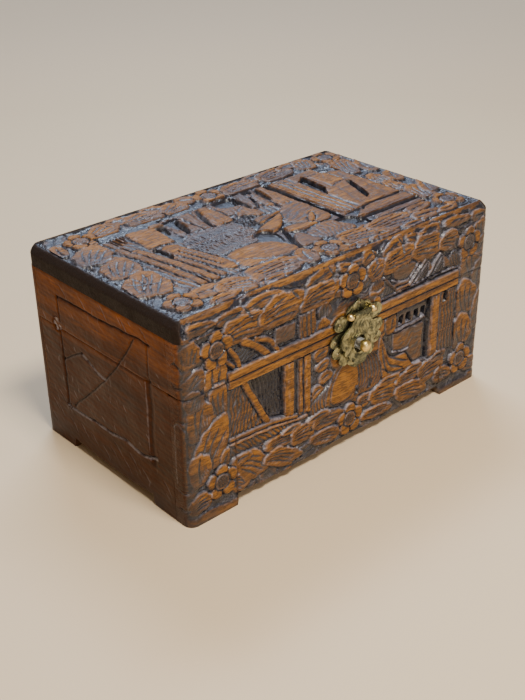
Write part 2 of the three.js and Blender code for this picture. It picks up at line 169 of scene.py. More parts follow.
def drift(u, v, size, seed):
    """Slow, repeatable unevenness between -1 and 1, as a hand-worked surface has."""
    rng = np.random.default_rng(seed)
    total = np.zeros(u.shape)
    waves = 5
    for _ in range(waves):
        angle = rng.uniform(0, 2 * math.pi)
        wave = 2 * math.pi / (size * rng.uniform(0.6, 1.5))
        total += np.sin(wave * (u * math.cos(angle) + v * math.sin(angle)) + rng.uniform(0, 6.28))
    return total / waves


def span_of(flags):
    """The slice that covers every true flag, or an empty one."""
    hits = np.flatnonzero(flags)
    return slice(hits[0], hits[-1] + 1) if len(hits) else slice(0, 0)


class Carving:
    """A carved surface. height is 0 on the uncut board; tint is 1 where the stain has worn to orange, and on
    leaves it also carries painted light and shade; pale marks cut edges that have worn or filled with light
    wax, and painted highlights on edges and gouges; lines and lined hold fine hatching."""

    def __init__(self, u, v, seed):
        self.plain_u, self.plain_v = u, v
        # every outline wavers a little, as hand-cut lines do
        self.u = u + 0.55 * drift(u, v, 17, seed) + 0.22 * drift(u, v, 6, seed + 1)
        self.v = v + 0.55 * drift(u, v, 15, seed + 2) + 0.22 * drift(u, v, 5, seed + 3)
        self.height = np.zeros(u.shape)
        self.tint = np.full(u.shape, 0.75)
        self.pale = np.zeros(u.shape)
        self.lines = np.zeros(u.shape)
        self.lined = np.zeros(u.shape)
        self.rng = np.random.default_rng(seed + 9)

    def near(self, x, z, reach_x, reach_z=None):
        """The same carving, limited to a rectangle round one place."""
        reach_z = reach_x if reach_z is None else reach_z
        columns = span_of(np.abs(self.plain_u[0] - x) < reach_x)
        rows = span_of((np.abs(self.plain_v[:, columns] - z) < reach_z).any(axis=1))
        part = Carving.__new__(Carving)
        for field in ("plain_u", "plain_v", "u", "v") + FIELDS:
            setattr(part, field, getattr(self, field)[rows, columns])
        part.rng = self.rng
        return part

    def around(self, points, margin):
        """The same carving, limited to the rectangle round some points."""
        points = np.asarray(points, dtype=float)
        low, high = points.min(axis=0), points.max(axis=0)
        middle, half = (low + high) / 2, (high - low) / 2 + margin
        return self.near(middle[0], middle[1], half[0], half[1])

    def box(self, x0, x1, z0, z1):
        """How far inside a rectangle each point lies."""
        return np.minimum(np.minimum(self.u - x0, x1 - self.u), np.minimum(self.v - z0, z1 - self.v))

    def stain(self, amount, tint):
        """Brings the stain to a tint where the amount is 1; on leaves the tint also carries painted light and
        shade.
        """
        self.tint[...] = self.tint * (1 - amount) + tint * amount

    def whiten(self, amount):
        """Marks worn or waxed edges, and painted highlights on edges and gouges."""
        self.pale[...] = np.maximum(self.pale, amount)

    def sink(self, inside, depth, wall=1.0, tint=0.3):
        """Cuts the ground away down to a depth inside a region."""
        amount = smooth_step(inside / wall + 0.5)
        self.height[...] = np.minimum(self.height, self.height * (1 - amount) - depth * amount)
        self.pale *= 1 - amount
        self.stain(amount, tint)

    def cover(self, inside, top, wall=0.9, tint=0.8, moat=0.7, rim=0.5):
        """A form laid over whatever is below it, with a cut line round it and a pale rim, partly worn and
        partly a painted highlight.
        """
        self.height -= moat * ridge(np.minimum(inside, 0), 0, 0.65) * (inside < 0)
        amount = smooth_step(inside / wall)
        self.height[...] = self.height * (1 - amount) + top * amount
        self.pale[...] = self.pale * (1 - amount) + rim * ridge(inside, 0.45, 0.45)
        self.lined *= 1 - amount
        self.stain(amount, tint)

    def lift(self, inside, top, wall=0.9, dome=0.0, reach=6.0, tint=0.8, moat=0.7, rim=0.4):
        """A form with a rounded top."""
        crown = top - dome * (1 - np.clip(inside / reach, 0, 1)) ** 2
        self.cover(inside, crown, wall, tint, moat, rim)

    def groove(self, points, width=0.9, depth=0.7, taper=True, tint=None, pale=0.0):
        """A V-shaped cut along a curve; width is measured from its middle to its edge."""
        points = curve_points(points)
        part = self.around(points, width + 3)
        d, along = line_distance(part.u, part.v, points)
        w = width * (np.clip(4 * along * (1 - along), 0.15, 1) ** 0.5 if taper else 1.0)
        cut = np.clip(1 - d / w, 0, 1)
        part.height -= depth * cut
        part.whiten(pale * cut)
        if tint is not None:
            part.stain(cut, tint)

    def bar(self, points, width, top, dome=0.5, tint=0.8, moat=0.7, rim=0.4):
        """A raised rounded strip along a curve."""
        points = curve_points(points)
        part = self.around(points, width + 3)
        inside = width / 2 - line_distance(part.u, part.v, points)[0]
        part.lift(inside, top, dome=dome, reach=width / 2, tint=tint, moat=moat, rim=rim)

    def outline(self, points, top, dome=0.4, reach=5.0, tint=0.7, smooth=True, moat=0.7, wall=0.9, rim=0.35,
                cuts=None, fine=None):
        """Lays down a flat or rounded form, with gouge cuts or fine lines across it."""
        points = loop_points(points) if smooth else np.asarray(points, dtype=float)
        part = self.around(points, 4)
        inside = inside_distance(part.u, part.v, points)
        part.lift(inside, top, dome=dome, reach=reach, tint=tint, moat=moat, wall=wall, rim=rim)
        if cuts:
            part.strokes(inside, *cuts)
        if fine:
            part.hatch(inside, *fine)
        return part, inside

    def panel(self, points, top, **look):
        """A form with straight sides."""
        return self.outline(points, top, smooth=False, **look)

    def pit(self, points, depth, wall=1.0, tint=0.05, smooth=False):
        """A hole with steep walls."""
        points = loop_points(points) if smooth else np.asarray(points, dtype=float)
        part = self.around(points, 3)
        part.sink(inside_distance(part.u, part.v, points), depth, wall, tint)

    def leaf(self, x, z, length, width, turn=0.0, veins=3, top=-0.1, tint=0.8, power=2.3, lobes=0, tip=0.0,
             tilt=0.7, cup=0.45, rim=0.55):
        """A broad lobed leaf, its upper side standing proud of its neighbours, with long veins."""
        part = self.near(x, z, max(length, width) * 0.62 + 3)
        c, s = direction(turn)
        along = ((part.u - x) * c + (part.v - z) * s) / (length / 2)
        across = (-(part.u - x) * s + (part.v - z) * c) / (width / 2)
        angle = np.arctan2(across, along)
        phase = self.rng.uniform(0, 6.28)
        edge = 1 + 0.075 * np.cos(lobes * angle + phase) * (lobes > 0) + tip * np.exp(-(angle / 0.35) ** 2)
        edge = edge + 0.03 * np.cos((2 * lobes + 3) * angle + 2 * phase)
        radius = (np.abs(along) ** power + np.abs(across) ** power) ** (1 / power) / edge
        inside = (1 - radius) * min(length, width) / 2
        rise = (part.v - z) / max(abs(width * c) + abs(length * s), 1)
        hollow = cup * smooth_step((inside - 0.9) / (0.28 * min(length, width)))
        # painted light and shade: the leaf's upper side is lighter and its lower side darker, and its rim is
        # a painted highlight that is strongest on the upper edge
        part.cover(inside, top - tilt * (0.5 - rise) - hollow, 0.9, tint - 0.06 + 0.65 * rise, 0.6,
                   rim * smooth_step(rise + 0.75))
        for k in range(veins):
            side = (k - (veins - 1) / 2) * width * 0.66 / max(veins, 3)
            start = -0.40 + 0.05 * self.rng.uniform(-1, 1)
            end = 0.36 + 0.07 * self.rng.uniform(-1, 1)
            sag = 0.05 * length
            local = [(start * length, side * 0.6), (0.0, side + sag * 0.5), (end * length, side * 1.25)]
            self.groove([(x + a * c - b * s, z + a * s + b * c) for a, b in local], 0.85, 0.75, tint=0.15,
                        pale=0.15)
        part.strokes(inside, turn + 8, 1.8, 0.16)

    def flower(self, x, z, size=13.5, turn=90.0, tint=1.0):
        """Five broad petals about a ring and a stippled middle."""
        part = self.near(x, z, size * 1.25)
        du, dv = part.u - x, part.v - z
        r, angle = np.hypot(du, dv), np.arctan2(dv, du) - math.radians(turn)
        wave = np.abs(np.cos(2.5 * angle))
        inside = size * (0.70 + 0.30 * wave ** 0.75) - r
        bow = 0.5 * ((r / size) - 0.75) ** 2 * 4
        part.cover(inside, -0.1 - bow, 0.8, tint, 1.0, 0.55)
        split = r * np.abs(np.arcsin(np.clip(np.cos(2.5 * angle), -1, 1)) / 2.5)
        cut = np.clip(1 - split / 1.1, 0, 1) * (r > size * 0.45) * (inside > -1.5)
        part.height -= 1.5 * cut
        part.stain(cut, 0.1)
        ring = np.clip(1 - np.abs(r - size * 0.47) / 1.2, 0, 1)
        part.height -= 1.3 * ring
        part.stain(ring, 0.15)
        # a pale ring round the heart, a painted highlight on its rim
        part.whiten(0.4 * ridge(r, size * 0.40, 0.5))
        heart = smooth_step((size * 0.40 - r) / 0.8)
        part.height[...] = part.height * (1 - heart) + heart * (-0.55 - 0.5 * (r / size / 0.4) ** 2)
        part.stain(heart, 0.35)
        pits = np.clip(np.sin(part.u * 3.1 + z) * np.sin(part.v * 2.3 + x), 0, 1)
        part.height -= 0.9 * pits * smooth_step((size * 0.34 - r) / 1.0)
        part.height -= 0.12 * (0.5 + 0.5 * np.cos(2 * r)) * smooth_step(inside / 1.5) * (r > size * 0.5)

    def strokes(self, inside, turn, pitch, depth, wobble=0.5, tint=None):
        """Parallel gouge cuts across a region, each with a painted highlight along one side."""
        c, s = direction(turn)
        across, along = self.v * c - self.u * s, self.u * c + self.v * s
        phase = across / pitch + wobble * np.sin(along * 0.21 + across * 0.13)
        phase = phase + 0.3 * wobble * np.sin(along * 0.6)
        amount = smooth_step(inside / 1.2)
        self.height -= depth * amount * (0.5 - 0.5 * np.cos(2 * math.pi * phase)) ** 1.5
        glint = (0.5 + 0.5 * np.cos(2 * math.pi * phase + 1.9)) ** 3
        glint *= amount * smooth_step(0.25 + 1.6 * drift(self.u, self.v, 13, 83))
        self.whiten(0.42 * glint)
        if tint is not None:
            self.stain(amount, tint)

    def hatch(self, inside, turn, pitch, strength=1.0):
        """Cuts finer than the mesh, kept as a phase that the wood's finish turns into lines."""
        c, s = direction(turn)
        amount = smooth_step(inside / 1.0)
        phase = (self.v * c - self.u * s) / pitch
        self.lines[...] = np.where(amount > 0.02, phase, self.lines)
        self.lined[...] = np.maximum(self.lined * (1 - amount), strength * amount)

    def undergrowth(self, region, spacing, turn, seed, tint=0.5):
        """Small overlapping leaf ends that fill the ground between the named leaves."""
        rng = np.random.default_rng(seed)
        x0, x1, z0, z1 = region
        spots = [
            (x, z) for x in np.arange(x0, x1 + 0.1, spacing) for z in np.arange(z0, z1 + 0.1, spacing * 0.75)]
        for k in rng.permutation(len(spots)):
            x, z = spots[k][0] + rng.uniform(-3, 3), spots[k][1] + rng.uniform(-2, 2)
            self.leaf(x, z, rng.uniform(19, 30), rng.uniform(12, 18), turn + rng.uniform(-50, 50),
                      veins=int(rng.integers(1, 4)), top=-0.9 - rng.uniform(0, 0.5),
                      tint=tint + rng.uniform(-0.25, 0.15), lobes=int(rng.integers(3, 6)), tip=0.15,
                      power=2.1, rim=0.35)

    def finish(self, relief=0.10):
        """Knife facets over the whole surface."""
        u, v = self.plain_u, self.plain_v
        self.height += relief * drift(u, v, 7, 31) + 0.5 * relief * drift(u, v, 3, 32)


def ridge(distance, at, width):
    """A soft line that is 1 at one distance and fades on both sides of it."""
    return np.exp(-((distance - at) / width) ** 2)


FRONT_SCENE = (-113, 117.5, 38.5, 123)    # the sunk panels: left, right, low, high
PLAIN_BAND = (-113, 118, 92.3, 105.4)
TOP_SCENE = (-112, 118, -52, 61)
HASP_SEAT = (5, 94, 25)                   # middle and half size of the level place under the brass


def front_leaves(c):
    """Broad leaves of the upper and lower borders, left to right."""
    c.undergrowth((-143, 143, 124, 145), 13, 5, 51, 0.55)
    c.undergrowth((-143, 143, 13, 37), 13, -8, 52, 0.5)
    crests = [(-108, 144, 30, 11, 4), (-82, 146, 38, 11, 6), (-134, 145, 26, 10, 0), (-30, 145, 32, 12, 16),
              (-6, 146, 15, 9, -10), (6, 145, 13, 8, 0), (17, 146, 16, 11, 25), (42, 146, 24, 12, 22),
              (66, 147, 22, 9, -6), (82, 147, 28, 11, 6), (112, 146.5, 34, 10, -2), (138, 144, 22, 11, -5)]
    for x, z, length, width, turn in crests:
        c.leaf(x, z, length, width, turn, veins=1, lobes=3, tint=0.8, tip=0.08)
    upper = [
        (-98, 131.5, 38, 23, 2, 4), (-66, 134, 38, 25, 10, 5), (-31, 132.5, 36, 20, 6, 4),
        (25, 133.5, 17, 19, 30, 3), (48, 135, 34, 20, 8, 4), (79, 135, 34, 23, -4, 5),
        (104, 132.5, 23, 18, -6, 3), (-143, 127, 19, 21, 80, 3), (143, 132, 17, 22, 90, 3)]
    lower = [
        (-140, 16, 20, 16, 10, 3), (-106, 17, 20, 15, -20, 3), (-94, 26, 30, 23, -30, 4),
        (-66, 33, 36, 12, -4, 3), (-66, 19.5, 36, 16, -20, 4), (-46, 30, 25, 17, 2, 4),
        (-22, 31.5, 32, 14, -4, 3), (-24, 17.5, 32, 14, -10, 3), (17, 31, 17, 12, 0, 3),
        (38, 28.5, 33, 20, -8, 4), (30, 15.5, 36, 11, -6, 3), (66, 32, 32, 12, 5, 3),
        (68, 18.5, 36, 17, -12, 4), (91, 29, 30, 21, 12, 4), (106, 18, 22, 15, -10, 3),
        (140, 36, 20, 18, 60, 3), (141, 15, 20, 14, 0, 3)]
    for x, z, length, width, turn, lobes in upper + lower:
        c.leaf(x, z, length, width, turn, veins=4, lobes=lobes, tint=0.85, tip=0.2)
    # light notches cut between the leaves of the upper border
    for tip, foot in [(-100, -91), (-61, -50), (-20, -16), (22, 26), (50, 54), (94, 92)]:
        c.groove([(tip, 151), (0.5 * (tip + foot), 144), (foot, 137)], 1.5, 1.5, tint=0.3, pale=0.5)


def front_columns(c):
    """Leaves and oval buds down the two ends of the front."""
    c.undergrowth((-144, -117, 40, 118), 10, 80, 53, 0.5)
    c.undergrowth((121, 144, 34, 118), 10, 80, 54, 0.5)
    for x, z, length, width, turn, veins, tint in [
            (-122, 104, 24, 23, 90, 2, 0.95), (-120.5, 86, 30, 18, 97, 3, 0.75),
            (-137.5, 80, 30, 22, 84, 2, 0.75), (-127, 57, 40, 27, 62, 3, 0.8),
            (-139, 42, 26, 20, 90, 1, 0.75), (-140, 108, 20, 17, 40, 2, 0.5), (-141, 95, 16, 17, 60, 1, 0.5),
            (-116, 42, 16, 12, 60, 1, 0.6), (131, 106, 30, 25, 104, 2, 0.75), (144, 95, 30, 18, 75, 2, 0.65),
            (129, 77, 33, 26, 98, 3, 0.9), (127.5, 49, 30, 25, 95, 3, 0.95), (144.5, 62, 34, 15, 88, 1, 0.65),
            (143, 118, 18, 15, 50, 1, 0.6)]:
        c.leaf(x, z, length, width, turn, veins=veins, tint=tint, lobes=3, tip=0.08)
    for x, z in [(-121, 125), (128, 124.5), (-120.5, 25), (127, 24.5)]:
        c.flower(x, z)


def upper_scene(c):
    """Branches, a post, shells, a net, a boat and hatched sails, all on the lid's front."""
    c.strokes(c.box(-113, 116, 104.5, 124), 4, 2.6, 0.7, wobble=0.8)
    for points, width in [
            ([(-110, 121), (-104, 112), (-102, 105)], 4.6), ([(-98, 122), (-88, 116), (-77, 105)], 6),
            ([(-88, 121), (-76, 115), (-69, 106)], 4.6), ([(-113, 113), (-107, 108)], 3.5)]:
        c.bar(points, width, -0.8, tint=0.75)
    c.panel([(-72, 109), (-52.5, 108), (-52, 121), (-70, 122)], -1.0, tint=0.35, cuts=(12, 3.1, 0.35))
    c.panel([(-49.5, 105), (-33, 105), (-34, 124), (-49, 124)], -0.4, tint=0.65, cuts=(90, 3.7, 0.9, 0.1))
    c.pit([(-33, 106), (-16, 106), (-12, 124), (-33, 124)], 3.2)
    c.leaf(-25, 119, 13, 14, 90, veins=3, top=-0.9, tint=0.3, power=2.1)
    c.outline([(-33, 109), (-27, 115), (-20, 111), (-18, 105), (-32, 105)], -0.6, dome=1.0, tint=0.7,
              cuts=(96, 1.9, 0.6, 0.1))
    c.bar([(-19, 106), (-14, 110), (-8, 111)], 4.4, -0.7, tint=0.7)
    c.outline([(19, 118), (24, 125.5), (31, 125.5), (35, 119), (28, 116)], -0.4, dome=1.0, tint=0.45,
              cuts=(84, 2.0, 0.8, 0.1))
    c.bar([(20, 116.5), (27, 115), (34, 116.5)], 3.8, -0.4, tint=0.9)
    c.outline([(22, 104), (31, 105), (30, 112), (24, 113)], -0.8, tint=0.8)
    c.panel([(31, 107), (35, 122), (40, 121), (50, 107)], -1.6, tint=0.2, cuts=(60, 2.6, 0.5))
    c.bar([(34, 124), (42, 116), (52, 108)], 2.6, -0.7, tint=0.5)
    c.bar([(48, 110), (56, 110.5), (70, 112)], 3.4, -1.2, tint=0.6)
    c.outline([(44, 127), (68, 127), (60, 116.5), (47, 118)], -1.1, dome=0.3, tint=0.3)
    c.bar([(44, 119), (50, 116.2), (60, 115.4), (66, 120), (71, 126)], 1.9, -0.6, tint=0.3, moat=1.0, rim=0.8)
    c.outline([(45, 113.5), (58, 112.5), (62, 115), (46, 116)], -0.8, tint=0.65)
    for start, tip, far in [(61, 80, 90), (81, 97, 109)]:
        c.panel([(start, 109), (tip, 125.5), (far, 109.5)], -1.4, dome=0.2, tint=0.3,
                cuts=(40, 2.5, 0.6), fine=(-35, 1.5, 0.7))
        c.bar([(start, 110), (tip - 2, 125)], 2.0, -0.4, tint=0.45, rim=0.8)
        c.bar([(start + 7, 110), (tip, 121)], 1.5, -0.7, tint=0.35, rim=0.7)
        c.panel([(tip + 1, 124.5), (far, 114), (far + 1, 110), (tip + 3, 112)], -0.7, tint=0.6)
    c.outline([(107, 107), (106, 117), (112, 123), (119, 116), (120, 107)], -1.0, tint=0.4,
              cuts=(100, 2.4, 0.9, 0.8))
    c.bar([(30, 107.6), (80, 108.6), (118, 107.4)], 1.8, -1.1, tint=0.4, rim=0.7)


def lower_left_scene(c):
    """Gouged panel, a leaning bar over a dark hollow, posts, and the boat's two long timbers."""
    c.panel([(-113, 54), (-78, 53.5), (-97, 93), (-113, 93)], -1.0, tint=0.5, cuts=(82, 3.0, 0.7, 0.4))
    for x, z in [(-107, 82), (-104, 74), (-102, 84), (-99, 66), (-95, 60), (-91, 68), (-89, 58), (-108, 62)]:
        c.groove([(x - 1.5, z - 4), (x + 1.5, z + 3)], 1.0, 0.8, tint=0.1, pale=0.35)
    c.pit([(-95, 92), (-63.5, 92), (-63.5, 51), (-77, 54.5)], 4.4, wall=0.8, tint=0.1)
    hollow = inside_distance(c.u, c.v, np.array([(-93, 91), (-64.5, 91), (-64.5, 53), (-77, 57)]))
    c.strokes(hollow, 92, 3.2, 1.2, wobble=0.25)
    c.bar([(-99, 92), (-78, 52)], 5.6, 0.0, dome=0.3, tint=0.85, moat=1.2)
    for x, width, low, tint in [(-58.7, 9.6, 48, 0.85), (-48.3, 4.6, 46, 0.75), (-41.7, 7.5, 45, 0.9)]:
        c.panel([(x - width / 2, low), (x + width / 2, low), (x + width / 2, 92), (x - width / 2, 92)], -0.3,
                dome=0.6, reach=width / 2, tint=tint, cuts=(91, width / 2.1, 0.3, 0.1))
    c.panel([(-37, 93), (-18, 93), (-18, 55), (-37, 50)], -1.9, tint=0.35, cuts=(70, 3.4, 0.8, 0.6))
    c.panel([(-112, 39), (-40, 39), (-40, 45), (-76, 54), (-112, 54)], -1.2, tint=0.5)
    c.strokes(c.box(-112, -40, 39, 49.5), -48, 3.0, 0.8, wobble=0.3)
    c.bar([(-112, 53.4), (-78, 51.8), (-52, 47)], 3.4, -0.3, tint=0.85)
    c.bar([(-112, 49.6), (-76, 47.4), (-52, 43.6), (-42, 43)], 2.6, -0.5, tint=0.8)
    for x, z, length, width in [(-28.5, 87, 15, 13), (-27, 77, 15, 10), (-24, 67, 15, 10), (-32, 58, 13, 10)]:
        c.leaf(x, z, length, width, 15, veins=1, top=-0.4, tint=0.8, power=2.2, lobes=3)
    c.outline([(-36, 55), (-22, 60), (-12, 60), (-17, 40), (-38, 40)], -0.9, tint=0.6, dome=0.5)
    for k in range(6):
        c.groove([(-15 - 0.9 * k, 66 - 1.6 * k), (-21 - 2.2 * k, 58 - k), (-23 - 2.9 * k, 48),
                 (-21 - 3.2 * k, 40)], 1.3, 1.2, tint=0.15, pale=0.3)


def lower_middle_scene(c):
    """The round mound under the hasp and the roots that curl away from it."""
    c.outline([(-20, 80), (-8, 92), (34, 92), (38, 80), (26, 72), (8, 76), (-12, 68)], -0.7, dome=0.4,
              tint=0.8)
    c.outline([(-18, 62), (-4, 76), (30, 78), (42, 60), (40, 40), (-20, 39)], -1.0, dome=0.6, tint=0.6)
    c.outline([(-19, 46), (-15, 60), (-5, 73), (8, 77), (18, 72), (13, 58), (6, 46), (0, 40), (-15, 40)],
              -0.1, dome=1.2, reach=12, tint=1.0, moat=0.9)
    for k in range(9):
        x = 9 + 3.2 * k
        c.groove([(4 + 3.0 * k, 76 - 0.9 * k), (x, 62), (x + 2.2, 49), (x - 2.5, 40)], 1.35, 1.5, tint=0.12,
                 pale=0.25)
    for x in (8, 22, 36):
        c.pit([(x - 2, 40), (x + 1.5, 40), (x + 2.5, 46), (x - 0.5, 47)], 3.2, tint=0.05)
        # a pale line along the lower edge of each pit, a painted highlight
        c.groove([(x - 2, 40), (x + 1, 43.5), (x + 2.4, 46)], 1.1, 0.2, pale=0.9)
    c.outline([(24, 80), (27, 92), (37, 92), (36, 82)], -0.4, dome=1.0, tint=0.9)
    c.outline([(33, 80), (38, 66), (46, 56), (66, 54), (72, 40), (38, 39), (35, 50), (30, 66)], -0.5,
              dome=0.7, tint=0.8)
    for points in (
            [(36, 76), (41, 62), (50, 53), (66, 46)], [(38, 60), (44, 50), (58, 43)],
            [(40, 74), (45, 64), (56, 57)], [(34, 70), (37, 55), (42, 44)], [(36, 50), (46, 43), (62, 41)]):
        c.groove(points, 1.4, 1.3, tint=0.12, pale=0.3)
    c.outline([(38, 78), (37, 91), (47, 93), (49, 82), (46, 76)], -0.5, dome=0.7, tint=0.8)
    c.groove([(43, 80), (44, 88), (46, 84)], 0.9, 0.9, tint=0.1)


def lower_right_scene(c):
    """A balcony with deep openings, its dark panel, a slit and two gouged posts."""
    c.pit([(49, 91.5), (87, 91.5), (87.5, 40), (70, 40), (60, 56), (48, 60)], 3.0, tint=0.2)
    c.panel([(50, 78), (86, 78), (86, 91), (50, 91)], -1.9, tint=0.3)
    for x in (54.5, 62.5, 70.5, 78.5):
        c.pit([(x - 2.2, 80), (x + 2.2, 80), (x + 2.4, 87), (x - 1.8, 87)], 6.0, wall=0.7, tint=0.0)
        # a pale sill under each opening, a painted highlight
        c.groove([(x - 2, 79.6), (x + 2, 79.6)], 0.9, 0.1, pale=0.9)
    c.bar([(47, 76.5), (74, 77), (80, 78), (86, 72)], 2.4, -0.9, tint=0.2, moat=1.2, rim=0.8)
    c.panel([(47, 60), (62, 55), (70, 43), (80, 43), (80.5, 74), (46, 75)], -1.5, dome=0.2,
            tint=0.45, cuts=(3, 5.0, 0.25))
    c.bar([(47, 59.5), (55, 57), (64, 56.5)], 1.8, -1.0, tint=0.2, rim=0.8)
    c.pit([(82.5, 91), (87, 91), (86.5, 40), (83, 40)], 5.0, wall=0.7, tint=0.0)
    c.panel([(87.3, 40), (97.4, 40), (97.5, 92), (89, 92)], -0.2, dome=0.5, tint=0.85,
            cuts=(92, 4.5, 0.3, 0.1))
    c.panel([(98.3, 39), (117, 39), (117, 92), (98.5, 92)], -0.8, dome=0.3, tint=0.6,
            cuts=(87, 3.4, 0.8, 0.3))
    c.pit([(102.5, 82), (105.8, 83), (106.2, 91.5), (102.5, 91.5)], 4.0, wall=0.7)
    c.bar([(71, 40.2), (80, 40.8), (88, 37)], 2.0, -0.7, tint=0.3, rim=0.8)


def corner_cuts(c):
    """Shallow lines where the front's carving turns on to the plain ends."""
    for s in (-1, 1):
        for points, pale in [
                ([(158, 78), (159, 60), (158.5, 33)], 0.8), ([(158, 78), (154, 79.5), (149, 76)], 0.5),
                ([(161, 29), (155, 26.5), (149, 27)], 0.7), ([(160, 110), (155, 106.5), (149, 107)], 0.6),
                ([(160, 121), (154, 124), (149, 119)], 0.4), ([(159, 14), (153, 12), (148, 13)], 0.4)]:
            c.groove([(s * x, z) for x, z in points], 1.1, 0.8, taper=False, tint=0.05, pale=pale)


def front_carving(u, v):
    """The whole carved front: u across, v up, running over the top board's front edge."""
    c = Carving(u, v, seed=4)
    ground = np.minimum(np.minimum(u + 150, 150 - u), np.minimum(v - 7.5, 150 - v))
    c.sink(ground, 1.3, 5.0, tint=0.4)
    c.strokes(ground, 0, 3.4, 0.3, wobble=0.9)
    front_leaves(c)
    front_columns(c)
    c.sink(c.box(*FRONT_SCENE), 2.2, 1.2, tint=0.3)
    upper_scene(c)
    lower_left_scene(c)
    lower_middle_scene(c)
    lower_right_scene(c)
    for x, z, length, width, turn in [
            (-103, 35, 19, 9, 0), (-57, 38, 20, 7, 4), (-30, 37, 24, 8, 0), (44, 37.5, 26, 8, 0),
            (72, 37.5, 22, 7, 0), (100, 37, 20, 8, 5)]:
        c.leaf(x, z, length, width, turn, veins=1, tint=0.8)
    for x, z in [(1, 133), (1.5, 21.5)]:
        c.flower(x, z)
    c.lift(c.box(*PLAIN_BAND), 0.0, wall=0.7, tint=1.0, moat=0.9, rim=0.45)
    # the smooth strips that wrap the two front corners
    for side in (-1, 1):
        strip = np.minimum(np.minimum(side * u - 148.5, 161 - side * u), np.minimum(c.v - 29, 81 - c.v))
        c.lift(strip, -0.1, wall=1.2, dome=0.6, reach=4, tint=0.5, rim=0.35)
    for z in (29.0, 82.0, 118.0, 137.5):
        d = np.abs(c.v - z - 0.05 * (np.abs(c.u) - 150))
        ring = np.clip(1 - d / 0.8, 0, 1) * (np.abs(u) > 148)
        c.height -= 0.6 * ring
        c.whiten(0.3 * ring)
    smooth_corner = smooth_step((np.abs(u) - 137) / 9) * (v < 141)
    c.height *= 1 - 0.72 * smooth_corner
    c.pale *= 1 - 0.6 * smooth_corner
    c.stain(0.6 * smooth_corner, 0.3)
    corner_cuts(c)
    # the front grows darker towards its right end
    c.tint -= 0.22 * smooth_step((u - 45) / 60)
    # long shallow tool marks on the shoulder under the arris
    shoulder = smooth_step((v - 147) / 3)
    c.height -= shoulder * (0.25 + 0.25 * drift(u, v * 2.5, 16, 77) + 0.2 * drift(u, v * 3, 5, 78))
    c.finish()
    # the plain foot edge keeps its full thickness
    c.height *= smooth_step((v - 1.0) / 8.0) * 0.9 + 0.1
    c.tint *= 0.55 + 0.45 * smooth_step((v - 1.0) / 10.0)
    # hardware sits on a levelled seat
    seat_u, seat_v, seat_half = HASP_SEAT
    seat = np.exp(-((np.abs(u - seat_u) / seat_half) ** 8 + (np.abs(v - seat_v) / seat_half) ** 8))
    c.height[...] = c.height * (1 - seat) - 0.3 * seat
    return c


def top_border(c):
    """Leaves and flowers round the top's scene, and one split leaf at its left end."""
    c.undergrowth((-140, 144, 64, 80), 10, 10, 61, 0.5)
    c.undergrowth((-140, 144, -75, -54), 10, -8, 62, 0.5)
    c.undergrowth((-140, -115, -45, 58), 11, 60, 63, 0.45)
    c.undergrowth((120, 144, -48, 60), 10, 70, 64, 0.45)
    left = [
        (-127, 36, 34, 28, 50, 5), (-125, 6, 34, 29, 55, 5), (-127, -26, 38, 33, 55, 5),
        (-140, 58, 22, 11, 85, 3)]
    back = [
        (-96, 69, 29, 22, 20, 4), (-78, 76, 24, 14, -20, 3), (-61, 69, 34, 23, 8, 4),
        (-46, 78, 22, 12, -15, 3), (-32, 68, 24, 22, 25, 4), (-16, 76, 19, 15, -20, 3),
        (33, 69, 40, 21, 6, 4), (54, 79, 22, 11, 10, 3), (72, 71, 36, 23, 8, 4), (92, 78, 22, 12, 0, 3),
        (106, 72, 25, 20, 70, 4), (144, 60, 20, 13, 80, 3)]
    front = [
        (-104, -60, 30, 17, -8, 3), (-85, -66, 32, 22, -16, 4), (-50, -64, 48, 25, 0, 5),
        (-21, -64, 24, 17, 70, 3), (29, -63, 34, 25, -10, 4), (66, -63, 46, 25, 0, 5),
        (96, -70, 32, 13, -4, 3), (100, -57, 28, 13, 6, 3), (-104, -74, 26, 9, 0, 2), (15, -75, 26, 8, 0, 2),
        (116, -73, 20, 9, 0, 2), (-62, -76, 30, 7, 2, 2), (45, -76, 30, 7, -2, 2), (75, -76, 28, 7, 2, 2)]
    right = [
        (127, 46, 38, 23, 70, 4), (125, 6, 23, 19, 90, 3), (141, 4, 26, 17, 60, 3), (123, -15, 24, 18, 90, 3),
        (128, -36, 30, 22, 70, 4), (142, -30, 32, 15, 60, 3), (142, 36, 32, 15, 75, 3)]
    for x, y, length, width, turn, lobes in left + back + front + right:
        c.leaf(x, y, length, width, turn, tint=0.8, veins=4 if width > 17 else 1, lobes=lobes, tip=0.15)
    for x, y, turn in [(-140, -18, 40), (-132, -12, 70), (-121, -14, 110), (-137, -32, 10), (-118, -30, 150)]:
        end_x, end_y = direction(turn)
        c.groove([(-128, -26), ((x - 128) / 2 + 1, (y - 26) / 2), (x + end_x, y + end_y)], 1.0, 0.8, tint=0.2,
                 pale=0.25)
    for x, y in [(-119, 64), (3, 71), (131, 72), (-127, -61.5), (-0.5, -65), (129.5, -61)]:
        c.flower(x, y, tint=0.9)


